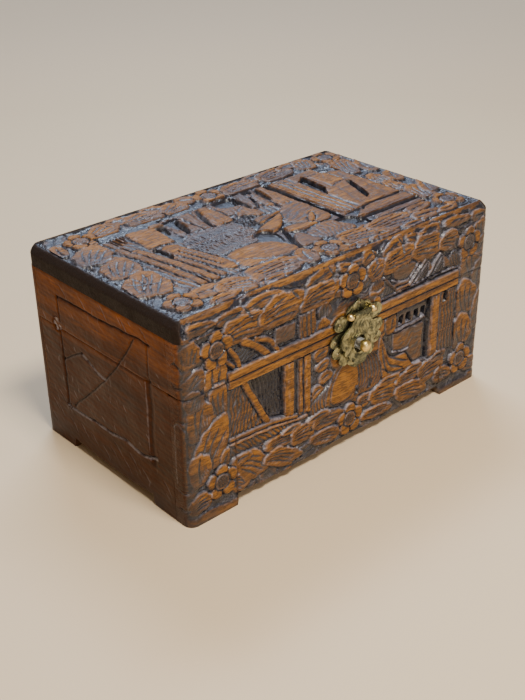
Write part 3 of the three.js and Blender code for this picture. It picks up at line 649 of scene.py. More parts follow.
def top_left_scene(c):
    """Leaning planks with round ends, a comb of cuts and a yellow block."""
    c.panel([(-112, 50), (-88, 54), (-62, 0), (-58, -51), (-112, -51)], -1.0, tint=0.5,
            cuts=(99, 4.2, 0.7, 0.1))
    for x in (-105, -102, -99, -96, -93):
        c.groove([(x, 54), (x + 0.4, 39)], 1.1, 1.8, tint=0.0)
    for points, width, tint in [
            ([(-109, 32), (-104, 4), (-99, -48)], 6.5, 0.6), ([(-101, 22), (-94, -8), (-89, -48)], 7, 0.7),
            ([(-91, 6), (-86, -14), (-81, -46)], 5.5, 0.55), ([(-80, 10), (-75, -12), (-69, -38)], 13.5,
            0.85)]:
        c.bar(points, width, -0.3, dome=0.7, tint=tint, moat=1.0)
    c.groove([(-81, 4), (-76, -18), (-72, -36)], 1.3, 1.1, tint=0.15)
    c.groove([(-77, 6), (-72, -14), (-68, -30)], 1.0, 0.8, tint=0.15)
    c.pit([(-93, 13), (-88, 16), (-88, 0), (-91, -4)], 3.6, smooth=True)
    c.panel([(-93, 20), (-70, 18), (-67, 50), (-90, 53)], -0.2, tint=1.0, cuts=(30, 6, 0.2))
    c.panel([(-70, 53), (-57, 53), (-57, 47), (-70, 48)], -0.2, tint=0.9)
    c.pit([(-67, 47), (-59, 47), (-64, 32), (-66, 31)], 4.4, wall=0.8, tint=0.0)


def top_middle_scene(c):
    """Pointed roofs with dark hollows, a hatched slope, a boat with raised tips and a mound."""
    c.panel([(-58, 56), (44, 60), (46, 8), (-62, 14)], -1.3, tint=0.45, cuts=(70, 4.4, 0.6, 0.3))
    c.pit([(-57, 52), (-43, 54), (-46, 30), (-54, 24)], 3.4, wall=1.0, tint=0.1)
    roofs = [
        ([(-52, 24), (-44, 54), (-41, 22)], 0.5), ([(-41, 20), (-41, 54), (-30, 55), (-35, 20)], 0.45),
        ([(-32, 18), (-24, 56), (-13, 56), (-13, 20)], 0.75), ([(-13, 28), (-12, 46), (8, 38), (2, 26)], 0.5),
        ([(12, 26), (16, 58), (24, 58), (21, 28)], 0.45), ([(21, 24), (27, 48), (32, 48), (29, 22)], 0.6),
        ([(29, 16), (37, 58), (47, 59), (46, 10)], 0.65), ([(-12, 12), (-6, 28), (10, 38), (12, 14)], 0.7)]
    for points, tint in roofs:
        c.panel(points, -0.5, dome=0.5, tint=tint, cuts=(80, 4.2, 0.35, 0.1))
    c.pit([(-6, 56), (11, 57), (9, 43), (0, 41), (-6, 47)], 4.2, smooth=True, tint=0.05)
    c.pit([(24, 58), (33, 60), (31, 53), (25, 54)], 4.0, tint=0.0)
    for points, width in [
            ([(-23, 54), (-29, 38), (-34, 22)], 2.2), ([(13, 56), (11, 40), (9, 27)], 2.4),
            ([(24, 46), (19, 34), (15, 26)], 1.8), ([(38, 57), (34, 42), (33, 33)], 3.0),
            ([(-13, 22), (-17, 10)], 2.0), ([(-23, 21), (-24, 12)], 1.6), ([(30, 24), (27, 17)], 1.6),
            ([(-46, 50), (-49, 36), (-55, 24)], 2.4)]:
        c.groove(points, width, 3.2, tint=0.0)
    c.outline([(-66, 16), (-20, 18), (-14, 0), (-28, -21), (-62, -22)], -1.2, dome=0.2, tint=0.5,
              cuts=(84, 2.2, 0.5, 0.1), fine=(80, 2.2, 0.35))
    c.outline([(-16, 20), (-2, 22), (4, 10), (-8, 2), (-18, 6)], -1.6, tint=0.3, cuts=(60, 3.0, 1.2, 0.8))
    c.outline([(-2, 12), (18, 12), (46, 18), (46, -18), (30, -26), (10, -12), (-4, 0)], -0.9, dome=0.4,
              tint=0.55, cuts=(20, 5, 0.25, 0.3))
    c.bar([(-4, 2), (8, 6), (19, 9)], 3.0, -0.2, tint=0.85, moat=1.1)
    c.outline([(-27, -15), (-14, -6), (2, 0), (18, 6), (10, -6), (1, -14), (-9, -17), (-15, -10)], 0.0,
              dome=0.5, tint=0.95, moat=1.2)
    c.pit([(-24, -13), (-15, -10), (-9, -18), (-14, -34), (-24, -24)], 3.4, smooth=True, tint=0.05)
    c.outline([(24, -20), (28, -14), (37, -7), (34, -15), (28, -21)], 0.0, tint=0.95, moat=1.2)
    c.outline([(-2, -18), (8, -16), (26, -24), (20, -31), (4, -28)], -0.3, dome=0.6, tint=0.85)
    c.groove([(4, -26), (12, -29.5), (24, -28)], 1.2, 1.4, tint=0.0)
    c.outline([(-4, -32), (4, -31), (8, -50), (-12, -50)], -0.7, tint=0.6)
    c.outline([(8, -32), (36, -28), (42, -50), (10, -50)], -0.9, dome=0.6, tint=0.55, cuts=(70, 4, 0.3))
    c.groove([(-1, -17), (-8, -34), (-16, -50)], 2.2, 3.4, taper=False, tint=0.0)
    c.outline([(-63, -30), (-52, -22), (-34, -22), (-19, -31), (-17, -51), (-60, -51)], -0.1, dome=1.2,
              reach=12, tint=0.85, cuts=(10, 5, 0.2))
    c.groove([(-58, -38), (-48, -46), (-42, -50)], 1.2, 0.8, tint=0.2)
    c.pit([(46, 60), (51.5, 60), (49.5, -30), (46, -30)], 4.6, wall=0.9, tint=0.0)


def top_right_scene(c):
    """A plank building with deep windows and two eaves."""
    c.panel([(51.5, -28), (52, 58), (73, 58), (73, -28)], -0.3, tint=0.75, cuts=(90.5, 5.2, 1.0, 0.03))
    c.panel([(72, -26), (72, 58), (102, 60), (118, 40), (118, -24)], -0.4, tint=0.65,
            cuts=(75, 8.5, 0.25, 0.05))
    c.panel([(87, 20), (87, 48), (104, 47), (105, 24)], 0.0, tint=0.95, cuts=(80, 5, 0.15))
    c.pit([(83.5, 50), (81, 22), (72, 10), (73.5, 44)], 4.6, wall=0.8, tint=0.0)
    c.pit([(103, 21), (106.5, 19), (95, -12), (89, -16), (92, -6)], 4.4, wall=0.8, tint=0.0)
    c.panel([(101, 45), (112, 46), (118, 58), (101, 60)], -1.6, tint=0.2, cuts=(80, 2.6, 0.8))
    c.panel([(51, -40), (70, -27), (118, -26), (118, -40)], -0.4, tint=0.6, cuts=(1, 4.6, 0.3, 0.05))
    c.groove([(68, -31), (78, -26), (114, -25.5)], 1.4, 2.4, taper=False, tint=0.0)
    c.groove([(50, -41.5), (118, -41)], 1.8, 3.2, taper=False, tint=0.0)
    c.pit([(38, -31), (50, -31), (56, -37), (58, -51), (44, -46)], 4.2, smooth=True, tint=0.0)
    c.panel([(62, -51), (66, -44), (116, -43.5), (118, -51)], -0.9, tint=0.55, cuts=(5, 4, 0.3))


def top_carving(u, v):
    """The whole carved top: u across, v from front to back."""
    c = Carving(u, v, seed=14)
    ground = np.minimum(np.minimum(u + 145, 149 - u), np.minimum(v + 80, 85.5 - v))
    c.sink(ground, 1.2, 6.0, tint=0.4)
    c.strokes(ground, 12, 3.6, 0.3, wobble=0.9)
    top_border(c)
    c.sink(c.box(*TOP_SCENE), 2.0, 1.2, tint=0.3)
    top_left_scene(c)
    top_middle_scene(c)
    top_right_scene(c)
    for x in (-130, -112, -90, -71, -54, -33, -9, 14, 37, 60, 83, 101, 124):
        c.groove([(x + 4, -72), (x, -77), (x - 2, -86)], 1.3, 0.9, tint=0.4, pale=0.5)
    # painted highlights along the front and left arrises, where the edges catch the light
    c.whiten(0.75 * ridge(v + 0.5 * drift(u, v, 9, 71), -78.6, 0.7))
    c.whiten(0.7 * ridge(u + 0.4 * drift(u, v, 12, 72), -145.2, 0.6))
    c.finish()
    return c


def end_carving(u, v):
    """The plain ends carry only shallow cut lines: a frame, a long slope, a peak and short dashes."""
    c = Carving(u, v, seed=23)
    c.tint[:] = 0.12
    c.height += 0.25 * drift(u, v, 40, 3) + 0.12 * drift(u, v * 2.5, 14, 5)
    cuts = [
        ([(52.5, 123), (30, 124.5), (8, 124), (-18, 125.5), (-40, 126.5), (-54, 126)], 1.5, 1.2, 0.1),
        ([(54, 36), (34, 35.5), (18, 37), (-2, 36.6), (-16, 39), (-30, 36.8), (-40, 37), (-54, 41)], 1.4, 1.3,
        0.9), ([(52.3, 124), (52, 90), (51.6, 75)], 1.1, 1.0, 0.2), ([(51.7, 76), (51.4, 60), (51.6, 36)],
        1.9, 1.2, 0.8), ([(-50.5, 99), (-51, 80), (-50, 60), (-50.5, 38)], 4.6, 1.4, 0.0),
        ([(-52, 126), (-51.5, 98)], 1.3, 0.5, 0.1), ([(43, 40), (20, 60), (-2, 81), (-20, 101), (-37, 124)],
        1.3, 0.9, 0.15), ([(52, 74), (40, 82), (27, 88.5)], 1.2, 0.9, 0.2),
        ([(27, 88.5), (14, 83), (1, 78.5)], 1.6, 1.1, 1.0)]
    for points, width, depth, pale in cuts:
        c.groove(points, width, depth, taper=False, tint=0.05)
        # beside each cut a pale line: wax in the cut, and a painted highlight along its edge
        c.groove([(y - 0.5, z - 0.9) for y, z in points], 0.95, 0.0, taper=False, pale=pale)
    # a pale line beside the wide cut on the left, the same painted highlight
    c.groove([(-46.8, 97), (-47.2, 80), (-46.2, 60), (-47, 42)], 0.9, 0.0, pale=0.4)
    dashes = [
        (0, 136), (-23, 135), (-46, 135), (48, 134), (24, 133), (80, 22), (69, 31), (52, 25), (38, 26),
        (26, 25), (2, 25), (-4, 31), (-22, 30), (64, 44), (75, 34), (12, 20), (-36, 24), (-60, 26), (-14, 22)]
    for y, z in dashes:
        c.groove([(y, z), (y - 4.5, z - 4), (y - 8.5, z - 9)], 0.8, 0.4, pale=0.45)
    rng = np.random.default_rng(8)
    scratches = 70
    for _ in range(scratches):
        y, z = rng.uniform(-72, 84), rng.uniform(14, 136)
        (along, up), length = direction(rng.uniform(200, 300)), rng.uniform(2, 7)
        c.groove([(y, z), (y + length * along, z + length * up)], 0.8, 0.12, pale=rng.uniform(0.1, 0.45))
    # an old chip on the frame's rear line
    chip, inside = c.outline([(60, 97), (61, 103), (57, 106), (53, 104), (52, 98), (56, 95.5)], -0.7,
                             tint=0.1, rim=0)
    chip.whiten(0.9 * smooth_step(inside / 1.2) * (drift(chip.u, chip.v, 4, 9) > -0.1))
    c.finish(0.06)
    return c


# ---------------------------------------------------------------------------
# Meshes
# ---------------------------------------------------------------------------
def new_piece(name, points, faces, body, node, material, attributes, crease=42):
    """A closed mesh that stands for one solid, with a value at each point for every attribute."""
    mesh = bpy.data.meshes.new(name)
    mesh.from_pydata([tuple(p) for p in place(points)], [], [tuple(f) for f in faces])
    mesh.update()
    for key, values in attributes.items():
        store(mesh, key, values)
    piece = bpy.data.objects.new(name, mesh)
    bpy.context.collection.objects.link(piece)
    mesh.materials.append(material)
    register(piece, body, node)
    outward(piece)
    smooth_by_angle(piece, crease)


def store(mesh, key, values):
    """Keeps one number for each point of a mesh."""
    layer = mesh.attributes.new(key, "FLOAT", "POINT")
    layer.data.foreach_set("value", np.asarray(values, dtype=np.float32))


def register(piece, body, node):
    """Hangs a piece on the body it rides on, and hides the solid it stands for."""
    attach(piece, body)
    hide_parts(node)


def outward(piece):
    """Turns every face's normal outwards."""
    bm = bmesh.new()
    bm.from_mesh(piece.data)
    bmesh.ops.recalc_face_normals(bm, faces=bm.faces)
    bm.to_mesh(piece.data)
    bm.free()


def select_only(piece):
    """Makes one piece the active and only selected one."""
    bpy.ops.object.select_all(action="DESELECT")
    piece.select_set(True)
    bpy.context.view_layer.objects.active = piece


def smooth_by_angle(piece, degrees):
    """Smooth shading, with edges sharper than the angle kept crisp."""
    select_only(piece)
    bpy.ops.object.shade_smooth_by_angle(angle=math.radians(degrees))


def blurred(grid, cells):
    """A box blur run twice, with the edges repeated."""
    out = grid
    for _ in range(2):
        for axis in (0, 1):
            pad = [(cells, cells) if k == axis else (0, 0) for k in (0, 1)]
            total = np.cumsum(np.pad(out, pad, mode="edge"), axis=axis)
            total = np.insert(total, 0, 0, axis=axis)
            n = 2 * cells + 1
            high = np.take(total, range(n, total.shape[axis]), axis=axis)
            low = np.take(total, range(0, total.shape[axis] - n), axis=axis)
            out = (high - low) / n
    return out


def surface_attributes(c, cells=3):
    """What the wood's finish reads: depth, how hollow or proud a place is, how worn it is, painted
    highlights, and fine lines.
    hollow compares a place with what is close round it, shade with a wider ring."""
    near = blurred(c.height, cells)
    wide = blurred(c.height, cells * 4)
    # pale marks are kept strongest on edges that face up and to the left, a painted highlight where the light
    # falls
    rise_v, rise_u = np.gradient(blurred(c.height, 1))
    facing = (0.6 * rise_u - 0.8 * rise_v) / np.maximum(np.hypot(rise_u, rise_v), 1e-3)
    pale = c.pale * (0.16 + 0.84 * smooth_step(0.5 + 0.75 * facing))
    return {"depth": -c.height, "hollow": near - c.height, "shade": wide - c.height,
            "tint": blurred(c.tint, 1), "lines": c.lines, "lined": c.lined, "pale": pale}


def grid_faces(rows, columns):
    """The four-sided faces of a grid of points."""
    index = np.arange(rows * columns).reshape(rows, columns)
    a, b, c, d = index[:-1, :-1], index[:-1, 1:], index[1:, 1:], index[1:, :-1]
    return np.stack([a, b, c, d], -1).reshape(-1, 4).tolist()


def grid_rim(rows, columns):
    """The vertices round a grid, in order."""
    low = list(range(columns))
    right = [r * columns + columns - 1 for r in range(1, rows)]
    high = [(rows - 1) * columns + k for k in range(columns - 2, -1, -1)]
    left = [r * columns for r in range(rows - 2, 0, -1)]
    return low + right + high + left


def backing(rim, count):
    """Faces from a grid's rim to a ring of new points behind it, and one face across that ring."""
    ring = list(range(count, count + len(rim)))
    edges = zip(rim, rim[1:] + rim[:1], ring, ring[1:] + ring[:1])
    return [[after, at, ring_at, ring_after] for at, after, ring_at, ring_after in edges] + [ring]


def with_backing(attributes, extra):
    """Values for the points behind the carved face too: only "inner" is 1 there."""
    return {key: np.concatenate([values.reshape(-1), np.full(extra, float(key == "inner"))])
            for key, values in attributes.items()}


# ---- carved front boards: a fine grid wrapped round both front corners ----
def front_path(pitch):
    """Stations along the front: the wrapped coordinate, and the place and outward direction in plan."""
    quarter = CORNER * math.pi / 2
    side = BOARD - CORNER
    reach = HALF_WIDTH - CORNER
    total = reach + quarter + side
    u = np.linspace(-total, total, int(2 * total / pitch))
    s = np.abs(u) - reach
    turn = np.clip(s / CORNER, 0, math.pi / 2)
    sign = np.sign(u)
    along = np.where(s < 0, np.abs(u), reach + CORNER * np.sin(turn))
    back = np.where(s < 0, 0.0, CORNER * (1 - np.cos(turn)) + np.clip(s - quarter, 0, None))
    where = np.stack([sign * along, FRONT_Y + back], -1)
    facing = np.stack([sign * np.sin(turn) * (s > 0), -np.cos(turn) * (s > 0) - 1.0 * (s <= 0)], -1)
    return u, where, facing


def arch_height(x):
    """Lower edge of the front and back boards between the feet."""
    left, right = ARCH
    middle = (left + right) / 2
    swing = np.abs(((x - left) / (middle - left)) % 1.0 - 0.5) * 2
    apron = APRON_LOW_Z + 1.0 + (APRON_Z - APRON_LOW_Z - 1.0) * swing ** 2
    rise = np.clip((x - left) / FOOT_SLOPE, 0, 1) * np.clip((right - x) / FOOT_SLOPE, 0, 1)
    return np.where((x > left) & (x < right), apron * rise, 0.0)


def carved_board(name, low, high, feet, body, node, material):
    """A carved front board, wrapped round both corners, with plain inner faces."""
    u, where, facing = front_path(GRID)
    rows = int((high - low) / GRID) + 1
    t = np.linspace(0, 1, rows)[:, None]
    bottom = arch_height(where[:, 0]) if feet else np.full(len(u), low)
    z = bottom + t * (high - bottom)
    uu = np.broadcast_to(u, z.shape)
    c = front_carving(uu, z)
    # the cut fades out on the plain end faces and along the joints
    fade = smooth_step((BOARD + HALF_WIDTH - CORNER + 2 - np.abs(uu)) / 4)
    rim = smooth_step((high - z if feet else np.minimum(z - bottom, high - z)) / 0.8)
    c.height = c.height * fade * (0.45 + 0.55 * rim) - 0.25 * (1 - rim)
    to_seam = high - z if feet else z - bottom
    seam = 1 - smooth_step((to_seam - 0.2) / 0.8)
    c.height -= 0.35 * seam
    c.tint *= 1 - seam
    c.pale *= 1 - seam
    x = where[:, 0] + facing[:, 0] * c.height
    y = where[:, 1] + facing[:, 1] * c.height
    front = np.stack([np.broadcast_to(x, z.shape), np.broadcast_to(y, z.shape), z], -1)
    columns = len(u)
    inner_y = FRONT_Y + BOARD
    back_x = where[1:-1, 0]
    back_low = np.stack([back_x, np.full(columns - 2, inner_y), bottom[1:-1]], -1)
    back_high = np.stack([back_x, np.full(columns - 2, inner_y), np.full(columns - 2, high)], -1)
    points = np.vstack([front.reshape(-1, 3), back_low, back_high])
    count = rows * columns
    low_row = np.concatenate([[0], count + np.arange(columns - 2), [columns - 1]])
    high_row = np.concatenate([[count - columns], count + columns - 2 + np.arange(columns - 2), [count - 1]])
    faces = grid_faces(rows, columns)
    for k in range(columns - 1):
        low_face = [k + 1, k, low_row[k], low_row[k + 1]]
        high_face = [count - columns + k, count - columns + k + 1, high_row[k + 1], high_row[k]]
        faces += [list(dict.fromkeys(low_face)), list(dict.fromkeys(high_face))]
        if 0 < k < columns - 2:
            faces.append([low_row[k + 1], low_row[k], high_row[k], high_row[k + 1]])
    left_edge = [r * columns for r in range(rows)]
    right_edge = [r * columns + columns - 1 for r in range(rows)]
    faces.append([low_row[1]] + left_edge + [high_row[1]])
    faces.append([high_row[-2]] + right_edge[::-1] + [low_row[-2]])
    side = smooth_step((np.abs(uu) - HALF_WIDTH + 0.5) / 2.5)
    attributes = dict(surface_attributes(c), side=side, inner=np.zeros(z.shape))
    new_piece(name, points, faces, body, node, material,
              with_backing(attributes, len(points) - count))


# ---- carved top board: one sheet draped over the board and down its four edges ----
DRAPE = 8.0
EDGE_SIZES = {"ends": (5.5, 6.0, 0.85), "front": (8.0, 7.5, 0.5), "back": (3.5, 4.5, 0.6)}


def edge_profile(inset, drop, crisp, pitch):
    """From the inner line outwards: how far out, how far down, and the path length, over the rounded edge."""
    flat = np.linspace(0, DRAPE - inset, max(int((DRAPE - inset) / pitch), 1), endpoint=False)
    turn = np.linspace(0, math.pi / 2, 40)
    straight = np.linspace(0, 1, 40)
    across = (1 - crisp) * np.sin(turn) + crisp * straight
    fall = (1 - crisp) * (1 - np.cos(turn)) + crisp * straight
    out = np.concatenate([flat, DRAPE - inset + inset * across, [DRAPE]])
    down = np.concatenate([flat * 0, drop * fall, [TOP_Z - TOP_LOW_Z]])
    path = np.concatenate([[0], np.cumsum(np.hypot(np.diff(out), np.diff(down)))])
    return out, down, path


def draped_axis(half, low_edge, high_edge, pitch):
    """Sheet stations along one direction, and each edge's own profile."""
    low_profile = edge_profile(*EDGE_SIZES[low_edge], pitch)
    high_profile = edge_profile(*EDGE_SIZES[high_edge], pitch)
    inner = half - DRAPE
    start, end = -inner - low_profile[2][-1], inner + high_profile[2][-1]
    return np.linspace(start, end, int((end - start) / pitch)), low_profile, high_profile


def top_board(material):
    """The carved top: a sheet over the board and its edges, closed by a plain underside."""
    a, _, right = draped_axis(HALF_WIDTH, "ends", "ends", TOP_GRID)
    b, front, back = draped_axis(HALF_DEPTH, "front", "back", TOP_GRID)
    aa, bb = np.meshgrid(a, b)
    inner_x, inner_y = HALF_WIDTH - DRAPE, HALF_DEPTH - DRAPE
    dx, dy = np.clip(np.abs(aa) - inner_x, 0, None), np.clip(np.abs(bb) - inner_y, 0, None)

    def over_edge(run, edge):
        """How far out and how far down a point is after a run over an edge."""
        return np.interp(run, edge[2], edge[0]), np.interp(run, edge[2], edge[1])

    def over_front_or_back(front_run, back_run):
        return np.where(bb < 0, over_edge(front_run, front), over_edge(back_run, back))

    end_length, front_length, back_length = right[2][-1], front[2][-1], back[2][-1]
    out_x, down_x = over_edge(dx, right)
    out_y, down_y = over_front_or_back(dy, dy)
    # in the corners the two edges are blended round the plan's rounded corner
    share_x, share_y = dx / end_length, dy / np.where(bb < 0, front_length, back_length)
    reach = np.maximum(share_x, share_y)
    angle = np.where(reach > 0, share_y / np.maximum(share_x + share_y, TINY), 0) * math.pi / 2
    corner = (dx > 0) & (dy > 0)
    weight = np.sin(angle) ** 2
    end_out, end_down = over_edge(reach * end_length, right)
    far_out, far_down = over_front_or_back(reach * front_length, reach * back_length)
    round_out = end_out * (1 - weight) + far_out * weight
    round_down = end_down * (1 - weight) + far_down * weight
    push_x = np.where(corner, round_out * np.cos(angle), out_x)
    push_y = np.where(corner, round_out * np.sin(angle), out_y)
    down = np.where(corner, round_down, np.maximum(down_x, down_y))
    x = np.sign(aa) * (np.minimum(np.abs(aa), inner_x) + push_x)
    y = np.sign(bb) * (np.minimum(np.abs(bb), inner_y) + push_y)
    z = TOP_Z - down
    # surface directions for the carving
    flat = np.stack([x, y, z], -1)
    du, dv = np.gradient(flat, axis=1), np.gradient(flat, axis=0)
    normal = np.cross(du, dv)
    normal /= np.maximum(np.linalg.norm(normal, axis=-1, keepdims=True), TINY)
    c = top_carving(aa, bb)
    f = front_carving(aa, TOP_LOW_Z + front_length - dy)
    over = smooth_step((-inner_y - 0.4 - bb) / 1.0)
    for field in FIELDS:
        setattr(c, field, getattr(c, field) * (1 - over) + getattr(f, field) * over)
    # the ends and the back are plain dark end grain and edge grain; the front's carving runs to the corners
    plain = smooth_step(np.maximum(dx - 3.0, np.where(bb > 0, dy - 4.0, -1)) / 1.5)
    plain *= 1 - smooth_step((angle / (math.pi / 2) - 0.42) / 0.16) * (corner & (bb < 0))
    c.height *= 1 - plain
    c.tint = c.tint * (1 - plain) + 0.02 * plain
    c.pale *= 1 - plain
    # the cut grows shallow at the joint with the front rail
    c.height *= 0.45 + 0.55 * smooth_step(np.where(bb < 0, front_length - dy, 9.0) / 0.9)
    points = flat + normal * c.height[..., None]
    rows, columns = aa.shape
    points[..., 2] = np.where(z <= TOP_LOW_Z + 1e-6, TOP_LOW_Z, np.maximum(points[..., 2], TOP_LOW_Z + 0.02))
    # the underside: a margin as wide as the boards below it, then the plain inside face
    points = points.reshape(-1, 3)
    rim = grid_rim(rows, columns)
    inner_ring = points[rim] * (1 - BOARD / HALF_WIDTH, 1 - BOARD / HALF_DEPTH, 1)
    faces = grid_faces(rows, columns) + backing(rim, len(points))
    attributes = dict(surface_attributes(c), end_grain=plain, inner=np.zeros(z.shape))
    new_piece("carved_top_board", np.vstack([points, inner_ring]), faces, "lid", "lid_top_board",
              material, with_backing(attributes, len(rim)))


# ---- end boards and rails: a grid on the outer face, plain on the other five ----
def end_board(name, side, low, high, feet, body, node, material):
    """An end board of the case, or the lid's rail over it, a little longer to close the corner joints."""
    reach = 0.25
    node_low, node_high = box_of(node)
    y0, y1 = node_low.y - BOX_Y - reach, node_high.y - BOX_Y + reach
    y = np.linspace(y0, y1, int((y1 - y0) / END_GRID) + 1)
    front_edge, back_edge = SIDE_ARCH
    rise = np.clip((y - front_edge) / FOOT_SLOPE, 0, 1) * np.clip((back_edge - y) / FOOT_SLOPE, 0, 1)
    middle, half = (front_edge + back_edge) / 2, (back_edge - front_edge) / 2
    apron = APRON_LOW_Z - 0.5 + 2.5 * ((y - middle) / half) ** 2
    bottom = apron * rise if feet else np.full(len(y), low)
    rows = int((high - low) / END_GRID) + 1
    z = bottom + np.linspace(0, 1, rows)[:, None] * (high - bottom)
    yy = np.broadcast_to(y, z.shape)
    c = end_carving(yy, z)
    edge = smooth_step(np.minimum(high - z, z - bottom) / 1.2)
    outer = side * (HALF_WIDTH + c.height - 0.35 * (1 - edge))
    face = np.stack([outer, yy, z], -1).reshape(-1, 3)
    rim = grid_rim(rows, len(y))
    back = face[rim].copy()
    back[:, 0] = side * (HALF_WIDTH - (node_high.x - node_low.x))
    faces = grid_faces(rows, len(y)) + backing(rim, len(face))
    attributes = dict(surface_attributes(c, 2), pale=c.pale, inner=np.zeros(z.shape))
    new_piece(name, np.vstack([face, back]), faces, body, node, material,
              with_backing(attributes, len(rim)), crease=40)


# ---------------------------------------------------------------------------
# Materials. Pairs of colours run from the dark streaks of the grain to the light ones.
# ---------------------------------------------------------------------------
# the darkest stain, tinted blue as a painted sheen in the glossy hollows
DARK_STAIN_AND_SHEEN = (0.0065, 0.0085, 0.0180), (0.020, 0.0210, 0.0330)
BROWN_STAIN = (0.038, 0.0185, 0.0115), (0.100, 0.048, 0.0260)
WORN_ORANGE = (0.125, 0.046, 0.0075), (0.355, 0.154, 0.0220)
END_DARK = (0.024, 0.0050, 0.0004), (0.082, 0.0195, 0.0012)
END_LIGHT = (0.110, 0.021, 0.0006), (0.330, 0.092, 0.0020)
END_GRAIN = (0.003, 0.0015, 0.0008), (0.022, 0.008, 0.003)
UNSTAINED = (0.20, 0.105, 0.045), (0.36, 0.215, 0.105)
BOTTOM_WOOD = (0.23, 0.125, 0.055), (0.42, 0.26, 0.13)
# the pale marks' colour: light wax, and painted highlights on edges and gouges
WAX_AND_HIGHLIGHT = (0.44, 0.43, 0.52)
END_WAX_AND_HIGHLIGHT = (0.40, 0.37, 0.41)
CUT_SHADOW = (0.008, 0.0045, 0.004)


class Nodes:
    """Short ways to add and join shader nodes."""

    def __init__(self, name):
        self.material = bpy.data.materials.new(name)
        self.material.use_nodes = True
        self.tree = self.material.node_tree
        self.shader = self.tree.nodes["Principled BSDF"]

    def add(self, kind, inputs=None, **settings):
        """A new node with its settings, and its inputs set or joined."""
        node = self.tree.nodes.new(kind)
        for key, value in settings.items():
            setattr(node, key, value)
        for key, value in (inputs or {}).items():
            self.put(node.inputs[key], value)
        return node

    def put(self, socket, value):
        if isinstance(value, bpy.types.NodeSocket):
            self.tree.links.new(value, socket)
        else:
            socket.default_value = (*value, 1) if socket.type == "RGBA" else value

    def math(self, operation, a, b=0.0, clamp=False):
        return self.add("ShaderNodeMath", {0: a, 1: b}, operation=operation, use_clamp=clamp).outputs[0]

    def times(self, a, b, clamp=False):
        return self.math("MULTIPLY", a, b, clamp)

    def plus(self, a, b, clamp=False):
        return self.math("ADD", a, b, clamp)

    def minus(self, a, b, clamp=False):
        return self.math("SUBTRACT", a, b, clamp)

    def mix(self, factor, a, b):
        """Colour a where the factor is 0, colour b where it is 1."""
        first, second = 6, 7
        inputs = {"Factor": factor, first: a, second: b}
        return self.add("ShaderNodeMix", inputs, data_type="RGBA").outputs[2]

    def ramp(self, value, low, high, to_low=0.0, to_high=1.0):
        """The value stretched from one range to another, and held at its ends."""
        inputs = {"Value": value, "From Min": low, "From Max": high, "To Min": to_low, "To Max": to_high}
        return self.add("ShaderNodeMapRange", inputs, clamp=True).outputs["Result"]

    def attribute(self, name):
        return self.add("ShaderNodeAttribute", attribute_name=name).outputs["Fac"]

    def spot(self):
        """Where a point is on the object, in metres."""
        return self.add("ShaderNodeTexCoord").outputs["Object"]

    def axis(self, letter):
        return self.add("ShaderNodeSeparateXYZ", {0: self.spot()}).outputs[letter]

    def noise(self, scale, detail, roughness=0.6, distortion=0.0, turn=(0, 0, 0)):
        """Cloudy unevenness; the scale is one number, or one for each direction."""
        scale = scale if isinstance(scale, tuple) else (scale,) * 3
        vector = self.add("ShaderNodeMapping", {"Vector": self.spot(), "Scale": scale, "Rotation": turn})
        inputs = {"Vector": vector.outputs["Vector"], "Scale": 1.0, "Detail": detail, "Roughness": roughness,
                  "Distortion": distortion}
        return self.add("ShaderNodeTexNoise", inputs).outputs["Fac"]

    def bump(self, height, strength, distance, normal=None):
        inputs = {"Height": height, "Strength": strength, "Distance": distance}
        if normal is not None:
            inputs["Normal"] = normal
        return self.add("ShaderNodeBump", inputs).outputs["Normal"]

    def set(self, **values):
        """Sets or joins the shader's own inputs."""
        for key, value in values.items():
            self.put(self.shader.inputs[key.replace("_", " ")], value)


def scaled(colour, amount):
    """A colour made darker or brighter."""
    return tuple(min(1.0, part * amount) for part in colour)


def grain_lines(n, along_y=False):
    """Long soft grain and short dark pores, both running with the board."""
    soft, fine = ((420, 26, 420), (880, 170, 880)) if along_y else ((26, 420, 420), (170, 880, 880))
    grain = n.noise(soft, 6, 0.62, 0.5)
    pores = n.noise(fine, 2, 0.55)
    return grain, pores


def end_colour(n, grain, pores):
    """Dark red-brown, lighter about the lid and streaked at the seam."""
    streaks = n.noise((30, 7, 90), 4, 0.55, 0.9)
    patches = n.noise(26, 5, 0.65)
    height = n.axis("Z")
    dark = n.mix(n.ramp(grain, 0.3, 0.7), *END_DARK)
    light = n.mix(n.ramp(grain, 0.3, 0.7), *END_LIGHT)
    upper = n.ramp(height, (SEAM_Z + 4) * MM, (SEAM_Z + 30) * MM)
    seam = n.times(n.ramp(height, (SEAM_Z - 16) * MM, (SEAM_Z + 2) * MM), n.ramp(streaks, 0.46, 0.62))
    lightness = n.plus(n.times(upper, 0.75), n.times(seam, 0.7))
    lightness = n.times(lightness, n.ramp(patches, 0.32, 0.58, 0.35, 1.0), clamp=True)
    colour = n.mix(lightness, dark, light)
    colour = n.mix(n.ramp(streaks, 0.52, 0.7, 0.0, 0.45), colour, (0.014, 0.0055, 0.003))
    colour = n.mix(n.ramp(pores, 0.54, 0.68, 0.0, 0.3), colour, (0.010, 0.0030, 0.0008))
    worn = n.times(n.ramp(height, 0.022, 0.003), n.ramp(patches, 0.38, 0.58))
    return n.mix(n.times(worn, 0.6), colour, (0.040, 0.038, 0.046))


def inside_colour(n, along_y=False):
    """The unstained inside faces of the boards."""
    scale = (120, 12, 120) if along_y else (12, 120, 120)
    grain = n.noise(scale, 6, 0.6, 0.8)
    return n.mix(n.ramp(grain, 0.3, 0.7), *UNSTAINED)


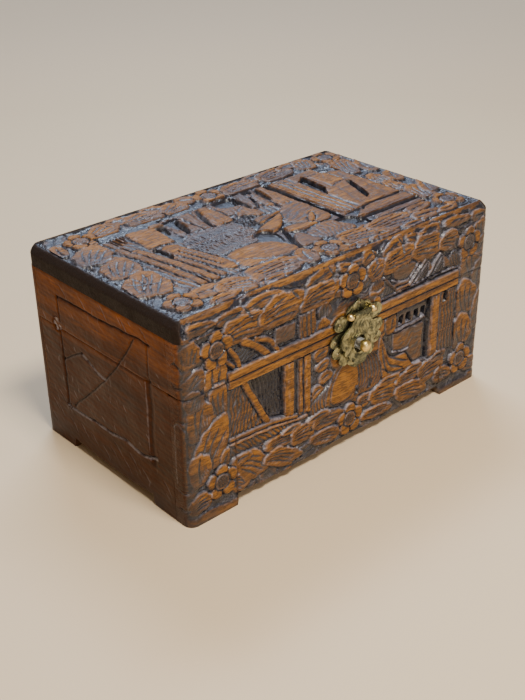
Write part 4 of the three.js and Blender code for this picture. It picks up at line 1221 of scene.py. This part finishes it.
def carved_wood():
    """Stained carving, dark in the hollows and orange on the tops, with plain ends and inside faces."""
    n = Nodes("carved_wood")
    grain, pores = grain_lines(n)
    patches = n.noise(18, 4, 0.6)
    hollow, depth = n.attribute("hollow"), n.attribute("depth")
    tint, lined, pale = n.attribute("tint"), n.attribute("lined"), n.attribute("pale")
    cuts = n.math("SINE", n.times(n.attribute("lines"), 2 * math.pi))
    cuts = n.times(n.math("MULTIPLY_ADD", cuts, 0.5), lined)
    # high, proud places lose the stain and deep hollows keep it; the hollow, shade and depth terms also
    # darken recesses as painted shade
    wear_and_shade = n.plus(n.ramp(tint, 0.0, 1.0, 0.0, 0.82), n.ramp(patches, 0.3, 0.75, -0.20, 0.24))
    wear_and_shade = n.minus(wear_and_shade, n.ramp(hollow, 0.0, 0.40, 0.0, 0.92))
    wear_and_shade = n.minus(wear_and_shade, n.ramp(n.attribute("shade"), -0.1, 1.1, -0.10, 0.50))
    wear_and_shade = n.minus(wear_and_shade, n.ramp(depth, 1.6, 4.4, 0.0, 0.35))
    wear_and_shade = n.minus(wear_and_shade, n.times(cuts, 0.4))
    wear_and_shade = n.plus(wear_and_shade, n.ramp(grain, 0.32, 0.7, -0.13, 0.13), clamp=True)
    dark = n.mix(n.ramp(grain, 0.35, 0.65), *DARK_STAIN_AND_SHEEN)
    brown = n.mix(n.ramp(grain, 0.3, 0.7), *BROWN_STAIN)
    orange = n.mix(n.ramp(grain, 0.3, 0.72), *WORN_ORANGE)
    colour = n.mix(n.ramp(wear_and_shade, 0.02, 0.36), dark, brown)
    colour = n.mix(n.ramp(wear_and_shade, 0.34, 0.85), colour, orange)
    colour = n.mix(n.ramp(pores, 0.50, 0.60, 0.0, 0.55), colour, (0.013, 0.0075, 0.0060))
    # pale marks: wax and wear on cut edges, and painted highlights on edges and gouges
    rim = n.times(pale, n.ramp(n.noise(160, 3), 0.35, 0.6, 0.25, 1.0))
    colour = n.mix(n.times(rim, 0.75), colour, WAX_AND_HIGHLIGHT)
    end = n.mix(n.noise((700, 90, 500), 5, 0.7), *END_GRAIN)
    colour = n.mix(n.attribute("end_grain"), colour, end)
    side_grain, side_pores = grain_lines(n, True)
    side_colour = end_colour(n, side_grain, side_pores)
    side_colour = n.mix(n.ramp(hollow, 0.02, 0.4, 0.0, 0.85), side_colour, CUT_SHADOW)
    side_colour = n.mix(n.times(rim, 0.8), side_colour, END_WAX_AND_HIGHLIGHT)
    colour = n.mix(n.attribute("side"), colour, side_colour)
    colour = n.mix(n.attribute("inner"), colour, inside_colour(n))
    rough = n.plus(n.ramp(grain, 0.3, 0.7, 0.28, 0.38), n.ramp(wear_and_shade, 0.1, 0.8, 0.0, 0.24))
    rough = n.plus(rough, n.ramp(n.noise(90, 3), 0.4, 0.7, -0.06, 0.08))
    # the stained hollows keep their varnish; worn tops and the board's ends are dry
    dry = 0.0
    for name, roughening in (("end_grain", 0.4), ("side", 0.12), ("inner", 0.3)):
        dry = n.plus(dry, n.attribute(name), clamp=True)
        rough = n.plus(rough, n.times(n.attribute(name), roughening), clamp=True)
    coat = n.times(n.minus(1.0, dry), n.ramp(wear_and_shade, 0.05, 0.6, 0.5, 0.0))
    normal = n.bump(grain, 0.6, 0.0006)
    normal = n.bump(n.times(pores, -1.0), 0.8, 0.0006, normal)
    normal = n.bump(n.times(cuts, -1.0), 0.9, 0.0006, normal)
    normal = n.bump(n.noise((260, 420, 420), 2, 0.5, 1.0), 0.25, 0.0005, normal)
    n.set(Base_Color=colour, Roughness=rough, Normal=normal, Coat_Weight=coat, Coat_Roughness=0.28,
          Specular_IOR_Level=0.3)
    return n.material


def end_wood(name, along_y):
    """Dark stained board with shallow pale-edged cuts."""
    n = Nodes(name)
    grain, pores = grain_lines(n, along_y)
    colour = end_colour(n, grain, pores)
    colour = n.mix(n.ramp(n.attribute("hollow"), 0.02, 0.4, 0.0, 0.85), colour, CUT_SHADOW)
    # pale marks: wax, scratches, and painted highlights beside the cuts
    pale = n.times(n.attribute("pale"), n.ramp(n.noise(150, 3), 0.36, 0.56, 0.25, 1.0))
    colour = n.mix(pale, colour, END_WAX_AND_HIGHLIGHT)
    inner = n.attribute("inner")
    if not along_y:
        depth = n.axis("Y")
        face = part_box("case_back_board")[0][1]
        inner = n.ramp(depth, face + 0.02 * MM, face + 0.06 * MM, 1.0, 0.0)
    colour = n.mix(inner, colour, inside_colour(n, along_y))
    patches = n.noise(22, 5, 0.65)
    rough = n.plus(n.ramp(grain, 0.3, 0.7, 0.34, 0.48), n.ramp(patches, 0.35, 0.7, -0.06, 0.12))
    normal = n.bump(grain, 0.25, 0.0004)
    normal = n.bump(n.times(pores, -1.0), 0.3, 0.0002, normal)
    normal = n.bump(patches, 0.35, 0.003, normal)
    n.set(Base_Color=colour, Roughness=rough, Normal=normal, Coat_Weight=0.0, Specular_IOR_Level=0.14)
    return n.material


def raw_wood():
    """The bottom board's unstained wood."""
    n = Nodes("raw_wood")
    grain = n.noise((10, 120, 120), 7, 0.6, 0.8)
    pores = n.noise((70, 1400, 1400), 2, 0.5)
    colour = n.mix(n.ramp(grain, 0.3, 0.7), *BOTTOM_WOOD)
    colour = n.mix(n.ramp(pores, 0.6, 0.75, 0.0, 0.35), colour, (0.12, 0.06, 0.025))
    normal = n.bump(n.times(pores, -1.0), 0.4, 0.0002, n.bump(grain, 0.3, 0.0005))
    n.set(Base_Color=colour, Roughness=n.ramp(grain, 0.3, 0.7, 0.55, 0.75), Normal=normal)
    return n.material


def brass(name, light, dark, roughness, tarnish):
    """Brass with clouds of tarnish, dark scored lines and bright rims, the rims worn and partly a painted
    highlight.
    """
    n = Nodes(name)
    cloud = n.noise(210, 5, 0.62, 0.4)
    fine = n.noise(1100, 3, 0.6)
    scratch = n.noise((2600, 2600, 160), 2, 0.5, turn=(0.1, 0.3, 0.0))
    colour = n.mix(n.times(n.ramp(cloud, 0.40, 0.60), tarnish), light, dark)
    colour = n.mix(n.ramp(fine, 0.58, 0.74, 0.0, 0.6 * tarnish), colour, scaled(dark, 0.3))
    colour = n.mix(n.times(n.attribute("cut"), 0.85), colour, scaled(dark, 0.22))
    # a lighter copy of the brass along each plate's edge: worn edges and a painted highlight
    colour = n.mix(n.times(n.attribute("rim"), 0.85), colour, scaled(light, 2.2))
    rough = n.plus(n.ramp(cloud, 0.3, 0.7, roughness - 0.07, roughness + 0.15),
                   n.ramp(scratch, 0.5, 0.8, 0, 0.1))
    normal = n.bump(cloud, 0.5, 0.0008)
    normal = n.bump(fine, 0.35, 0.0002, normal)
    n.set(Base_Color=colour, Metallic=1.0, Roughness=rough, Normal=normal)
    return n.material


def post_brass(gold, dull):
    """Gold on the ball, dull and dark on the domed foot behind it."""
    n = Nodes("post_brass")
    depth = n.axis("Y")
    foot = n.ramp(depth, (FRONT_Y + BOX_Y - 8.2) * MM, (FRONT_Y + BOX_Y - 7.4) * MM)
    cloud = n.noise(420, 4, 0.6)
    shine = n.mix(n.ramp(cloud, 0.35, 0.65), gold, scaled(gold, 0.72))
    worn = n.mix(n.ramp(cloud, 0.35, 0.65), dull, scaled(dull, 0.45))
    n.set(Base_Color=n.mix(foot, shine, worn), Metallic=n.ramp(foot, 0.0, 1.0, 1.0, 0.3),
          Roughness=n.ramp(cloud, 0.3, 0.7, 0.26, 0.42), Normal=n.bump(cloud, 0.3, 0.0004))
    return n.material


# ---------------------------------------------------------------------------
# Brass: the frame's solids are bevelled and finished copies with their own detail
# ---------------------------------------------------------------------------
def finished_copy(node_name, piece_name, body, material, bevel, segments=3, angle=35):
    """A copy of a plain solid, its triangles merged and its edges broken."""
    source = frame["nodes"][node_name]
    piece = source.copy()
    piece.data = source.data.copy()
    piece.name = piece_name
    piece.parent = None
    piece.matrix_world = Matrix()
    for key in list(piece.keys()):
        del piece[key]
    bpy.context.collection.objects.link(piece)
    bm = bmesh.new()
    bm.from_mesh(piece.data)
    bmesh.ops.remove_doubles(bm, verts=bm.verts, dist=1e-6)
    bmesh.ops.dissolve_limit(bm, angle_limit=math.radians(1.5), verts=bm.verts, edges=bm.edges)
    bm.to_mesh(piece.data)
    bm.free()
    piece.data.materials.clear()
    piece.data.materials.append(material)
    rounding = piece.modifiers.new("broken_edges", "BEVEL")
    rounding.width = bevel * MM
    rounding.segments = segments
    rounding.limit_method = "ANGLE"
    rounding.angle_limit = math.radians(angle)
    rounding.harden_normals = False
    select_only(piece)
    bpy.ops.object.modifier_apply(modifier=rounding.name)
    smooth_by_angle(piece, 38)
    register(piece, body, node_name)
    return piece


def body_of_node(name):
    """The moving body that a solid belongs to."""
    for body, nodes in frame["record"]["behaviour"]["bodies"].items():
        if name in nodes:
            return body
    return None


def plate_outline(node_name):
    """The edges of a plate's front face, holes included, as line ends in x and z."""
    bm = bmesh.new()
    bm.from_mesh(frame["nodes"][node_name].data)
    segments = []
    for edge in bm.edges:
        fronts = [face.normal.y < -0.8 for face in edge.link_faces]
        if any(fronts) and not all(fronts):
            segments.append([(v.co.x / MM, v.co.z / MM) for v in edge.verts])
    bm.free()
    return np.array(segments)


def outline_distance(x, z, segments):
    """Distance to the nearest of many straight pieces of line."""
    best = np.full(x.shape, 1e9)
    for start, end in segments:
        best = np.minimum(best, to_segment(x, z, start, end)[0])
    return best


PLATE_NET = 0.6    # spacing of the net that the plates' faces are cut into


def press_plate(piece, node_name, curves, bands, side, dome):
    """Raises and scores the front of a plate: lines that follow its edge, then free curves."""
    bm = bmesh.new()
    bm.from_mesh(piece.data)
    low, high = box_of(node_name)
    for axis in (0, 2):
        across = Vector((axis == 0, 0, axis == 2))
        for cut in np.arange(low[axis] + PLATE_NET / 2, high[axis], PLATE_NET):
            bmesh.ops.bisect_plane(bm, geom=bm.verts[:] + bm.edges[:] + bm.faces[:], dist=1e-7,
                                   plane_co=across * cut * MM, plane_no=across)
    bm.normal_update()
    facing = np.array([v.normal.y for v in bm.verts])
    x = np.array([v.co.x for v in bm.verts]) / MM
    z = np.array([v.co.z for v in bm.verts]) / MM
    d = outline_distance(x, z, plate_outline(node_name))
    mask = side(x, z)
    cuts = np.zeros(len(x))
    for at, strength in bands:
        cuts = np.maximum(cuts, strength * ridge(d, at, 0.38) * mask)
    raised = dome * (1 - np.exp(-d / 3.5)) + 0.16 * ridge(d, 0.6, 0.45)
    for points, height in curves:
        line = line_distance(x, z, curve_points(points))[0]
        if height > 0:
            raised += height * ridge(line, 0, 0.75)
            cuts = np.maximum(cuts, 0.8 * ridge(line, 1.25, 0.4))
        else:
            cuts = np.maximum(cuts, ridge(line, 0, 0.42))
    move = np.where(facing < -0.5, raised - 0.26 * cuts, 0.0) * np.clip(d / 0.5, 0, 1)
    for vert, step in zip(bm.verts, move):
        vert.co.y -= step * MM
    bm.to_mesh(piece.data)
    bm.free()
    front = facing < -0.3
    store(piece.data, "cut", cuts * front)
    store(piece.data, "rim", ridge(d, 0.25, 0.5) * front)
    smooth_by_angle(piece, 38)


def brass_work(dull, gold, nails, post):
    """Every brass piece: finished copies of the solids, then the three pressed plates of the hasp."""
    finishes = {"nail": ("gold_brass", nails, 0.1), "screw": ("gold_brass", nails, 0.1),
                "post": ("gold_brass", post, 0.2), "pin": ("gold_brass", gold, 0.28),
                "finial": ("gold_brass", gold, 0.2)}
    pieces = {}
    for name in frame["nodes"]:
        if not name.startswith(("hasp", "hinge")):
            continue
        kind = next((word for word in finishes if word in name), None)
        slot_name, material, bevel = finishes.get(kind, ("dull_brass", dull, 0.28))
        pieces[name] = finished_copy(name, "brass_" + name, body_of_node(name), material, bevel)

    def left_side(x, z):
        return smooth_step((2.5 - x) / 3)

    def everywhere(x, z):
        return np.ones(x.shape)

    tongue_curves = [
        ([(6.5, 104), (3.6, 99.5), (5.2, 94.5)], 0.34), ([(9.5, 101), (11.5, 97), (10, 93)], 0.22),
        ([(-2, 101), (-1, 97), (-3.5, 93.5)], 0.2), ([(12, 90), (14.5, 87), (12.5, 82)], -1),
        ([(1, 78.5), (5, 77), (9, 78.5)], -1)]
    press_plate(pieces["hasp_tongue"], "hasp_tongue", tongue_curves,
                [(1.9, 0.9), (3.1, 1.0), (4.3, 1.0), (5.5, 0.8)], left_side, 0.35)
    lid_curves = [([(5, 118), (5, 113), (4, 110)], 0.3), ([(-2, 115), (-6, 112), (-12, 110)], 0.25),
                  ([(12, 115), (16, 112), (21, 109.5)], 0.25)]
    press_plate(pieces["hasp_lid_plate"], "hasp_lid_plate", lid_curves, [(1.5, 1.0), (2.7, 0.6)], everywhere,
                0.3)
    press_plate(pieces["hasp_body_plate"], "hasp_body_plate", [], [(1.5, 1.0), (2.7, 0.8), (3.9, 0.5)],
                everywhere, 0.3)


# ---------------------------------------------------------------------------
# Room: pale floor, soft lights, camera
# ---------------------------------------------------------------------------
def floor():
    """A wide pale floor."""
    bpy.ops.mesh.primitive_plane_add(size=30.0, location=(0, 0, 0))
    plane = bpy.context.object
    plane.name = "floor"
    n = Nodes("pale_floor")
    n.set(Base_Color=(0.80, 0.63, 0.42), Roughness=0.6)
    # far from the box the floor glows as pale as the wall, so that the two meet without a dark band
    reach = n.add("ShaderNodeVectorMath", {0: n.spot()}, operation="LENGTH").outputs["Value"]
    n.set(Emission_Color=(0.55, 0.55, 0.53), Emission_Strength=n.ramp(reach, 0.9, 3.2, 0.0, 1.0))
    plane.data.materials.append(n.material)


def area_light(name, place_at, target, size, power, colour):
    """A soft rectangular lamp turned towards a point."""
    data = bpy.data.lights.new(name, "AREA")
    data.shape = "RECTANGLE"
    data.size, data.size_y = size
    data.energy = power
    data.color = colour
    lamp = bpy.data.objects.new(name, data)
    lamp.location = place_at
    lamp.rotation_euler = (Vector(target) - Vector(place_at)).to_track_quat("-Z", "Y").to_euler()
    bpy.context.collection.objects.link(lamp)


def lights():
    """A dim warm room with a pale wall, and four soft lamps."""
    world = bpy.data.worlds.new("room")
    world.use_nodes = True
    nodes, links = world.node_tree.nodes, world.node_tree.links
    # a warm dim room lights the box, and a pale wall is what is seen behind it
    glow, wall = nodes["Background"], nodes.new("ShaderNodeBackground")
    for source, colour, strength in ((glow, (1.0, 0.80, 0.60), 0.26), (wall, (0.80, 0.72, 0.63), 1.0)):
        source.inputs["Color"].default_value = (*colour, 1)
        source.inputs["Strength"].default_value = strength
    choice, seen = nodes.new("ShaderNodeMixShader"), nodes.new("ShaderNodeLightPath")
    links.new(seen.outputs["Is Camera Ray"], choice.inputs["Fac"])
    links.new(glow.outputs[0], choice.inputs[1])
    links.new(wall.outputs[0], choice.inputs[2])
    links.new(choice.outputs[0], nodes["World Output"].inputs["Surface"])
    bpy.context.scene.world = world
    area_light("window_behind", (0.50, 0.80, 1.28), (0, 0, 0.1), (0.7, 0.30), 16, (0.66, 0.80, 1.0))
    area_light("lamp_above", (-0.15, -0.62, 1.35), (0, 0, 0.08), (0.40, 0.30), 22, (1.0, 0.94, 0.84))
    area_light("front_fill", (0.0, -1.45, 0.55), (0, 0, 0.05), (0.9, 0.7), 6.5, (1.0, 0.92, 0.84))
    area_light("sky_behind", (1.25, 1.45, 1.05), (0, 0, 0.15), (1.5, 0.7), 5, (0.42, 0.62, 1.0))


def camera():
    """Looks down at the left front corner."""
    data = bpy.data.cameras.new("camera")
    data.lens = 55.5
    data.sensor_width = 36.0
    data.clip_start = 0.05
    cam = bpy.data.objects.new("camera", data)
    right = Vector((0.7431, -0.6690, -0.0155)).normalized()
    forward = Vector((0.5811, 0.6567, -0.4808)).normalized()
    up = right.cross(forward).normalized()
    right = forward.cross(up).normalized()
    turn = Matrix((right, up, -forward)).transposed().to_4x4()
    where = Vector((-0.4902, -0.5464 + BOX_Y * MM, 0.4479))
    cam.matrix_world = Matrix.Translation(where) @ turn
    bpy.context.collection.objects.link(cam)
    bpy.context.scene.camera = cam


# ---------------------------------------------------------------------------
# Build
# ---------------------------------------------------------------------------
def wooden_boards():
    """The carved boards, the ends, and the plain boards at the back and below."""
    carved = carved_wood()
    end_y = end_wood("end_wood_along_y", True)
    end_x = end_wood("end_wood_along_x", False)
    raw = raw_wood()
    carved_board("carved_case_front", 0.0, case_high.z, True, "case", "case_front_board", carved)
    carved_board("carved_lid_front", rail_low.z, rail_high.z + RAIL_REACH, False, "lid", "lid_front_rail",
                 carved)
    top_board(carved)
    for side, word in ((-1, "left"), (1, "right")):
        end_board(f"case_{word}_end", side, 0.0, case_high.z, True, "case", f"case_{word}_end_board", end_y)
        end_board(f"lid_{word}_end", side, rail_low.z, rail_high.z + RAIL_REACH, False, "lid",
                  f"lid_{word}_rail", end_y)
    for name in ("case_back_board", "lid_back_rail"):
        finished_copy(name, name + "_finished", body_of_node(name), end_x, 0.4)
    finished_copy("case_bottom_board", "case_bottom_finished", "case", raw, 0.4)


wooden_boards()
brass_work(brass("dull_brass", (0.40, 0.39, 0.235), (0.060, 0.068, 0.048), 0.30, 0.95),
           brass("gold_brass", (0.90, 0.74, 0.38), (0.55, 0.40, 0.16), 0.26, 0.5),
           brass("old_nails", (0.30, 0.26, 0.16), (0.12, 0.10, 0.06), 0.42, 0.8),
           post_brass((0.90, 0.70, 0.28), (0.60, 0.62, 0.60)))
floor()
lights()
camera()
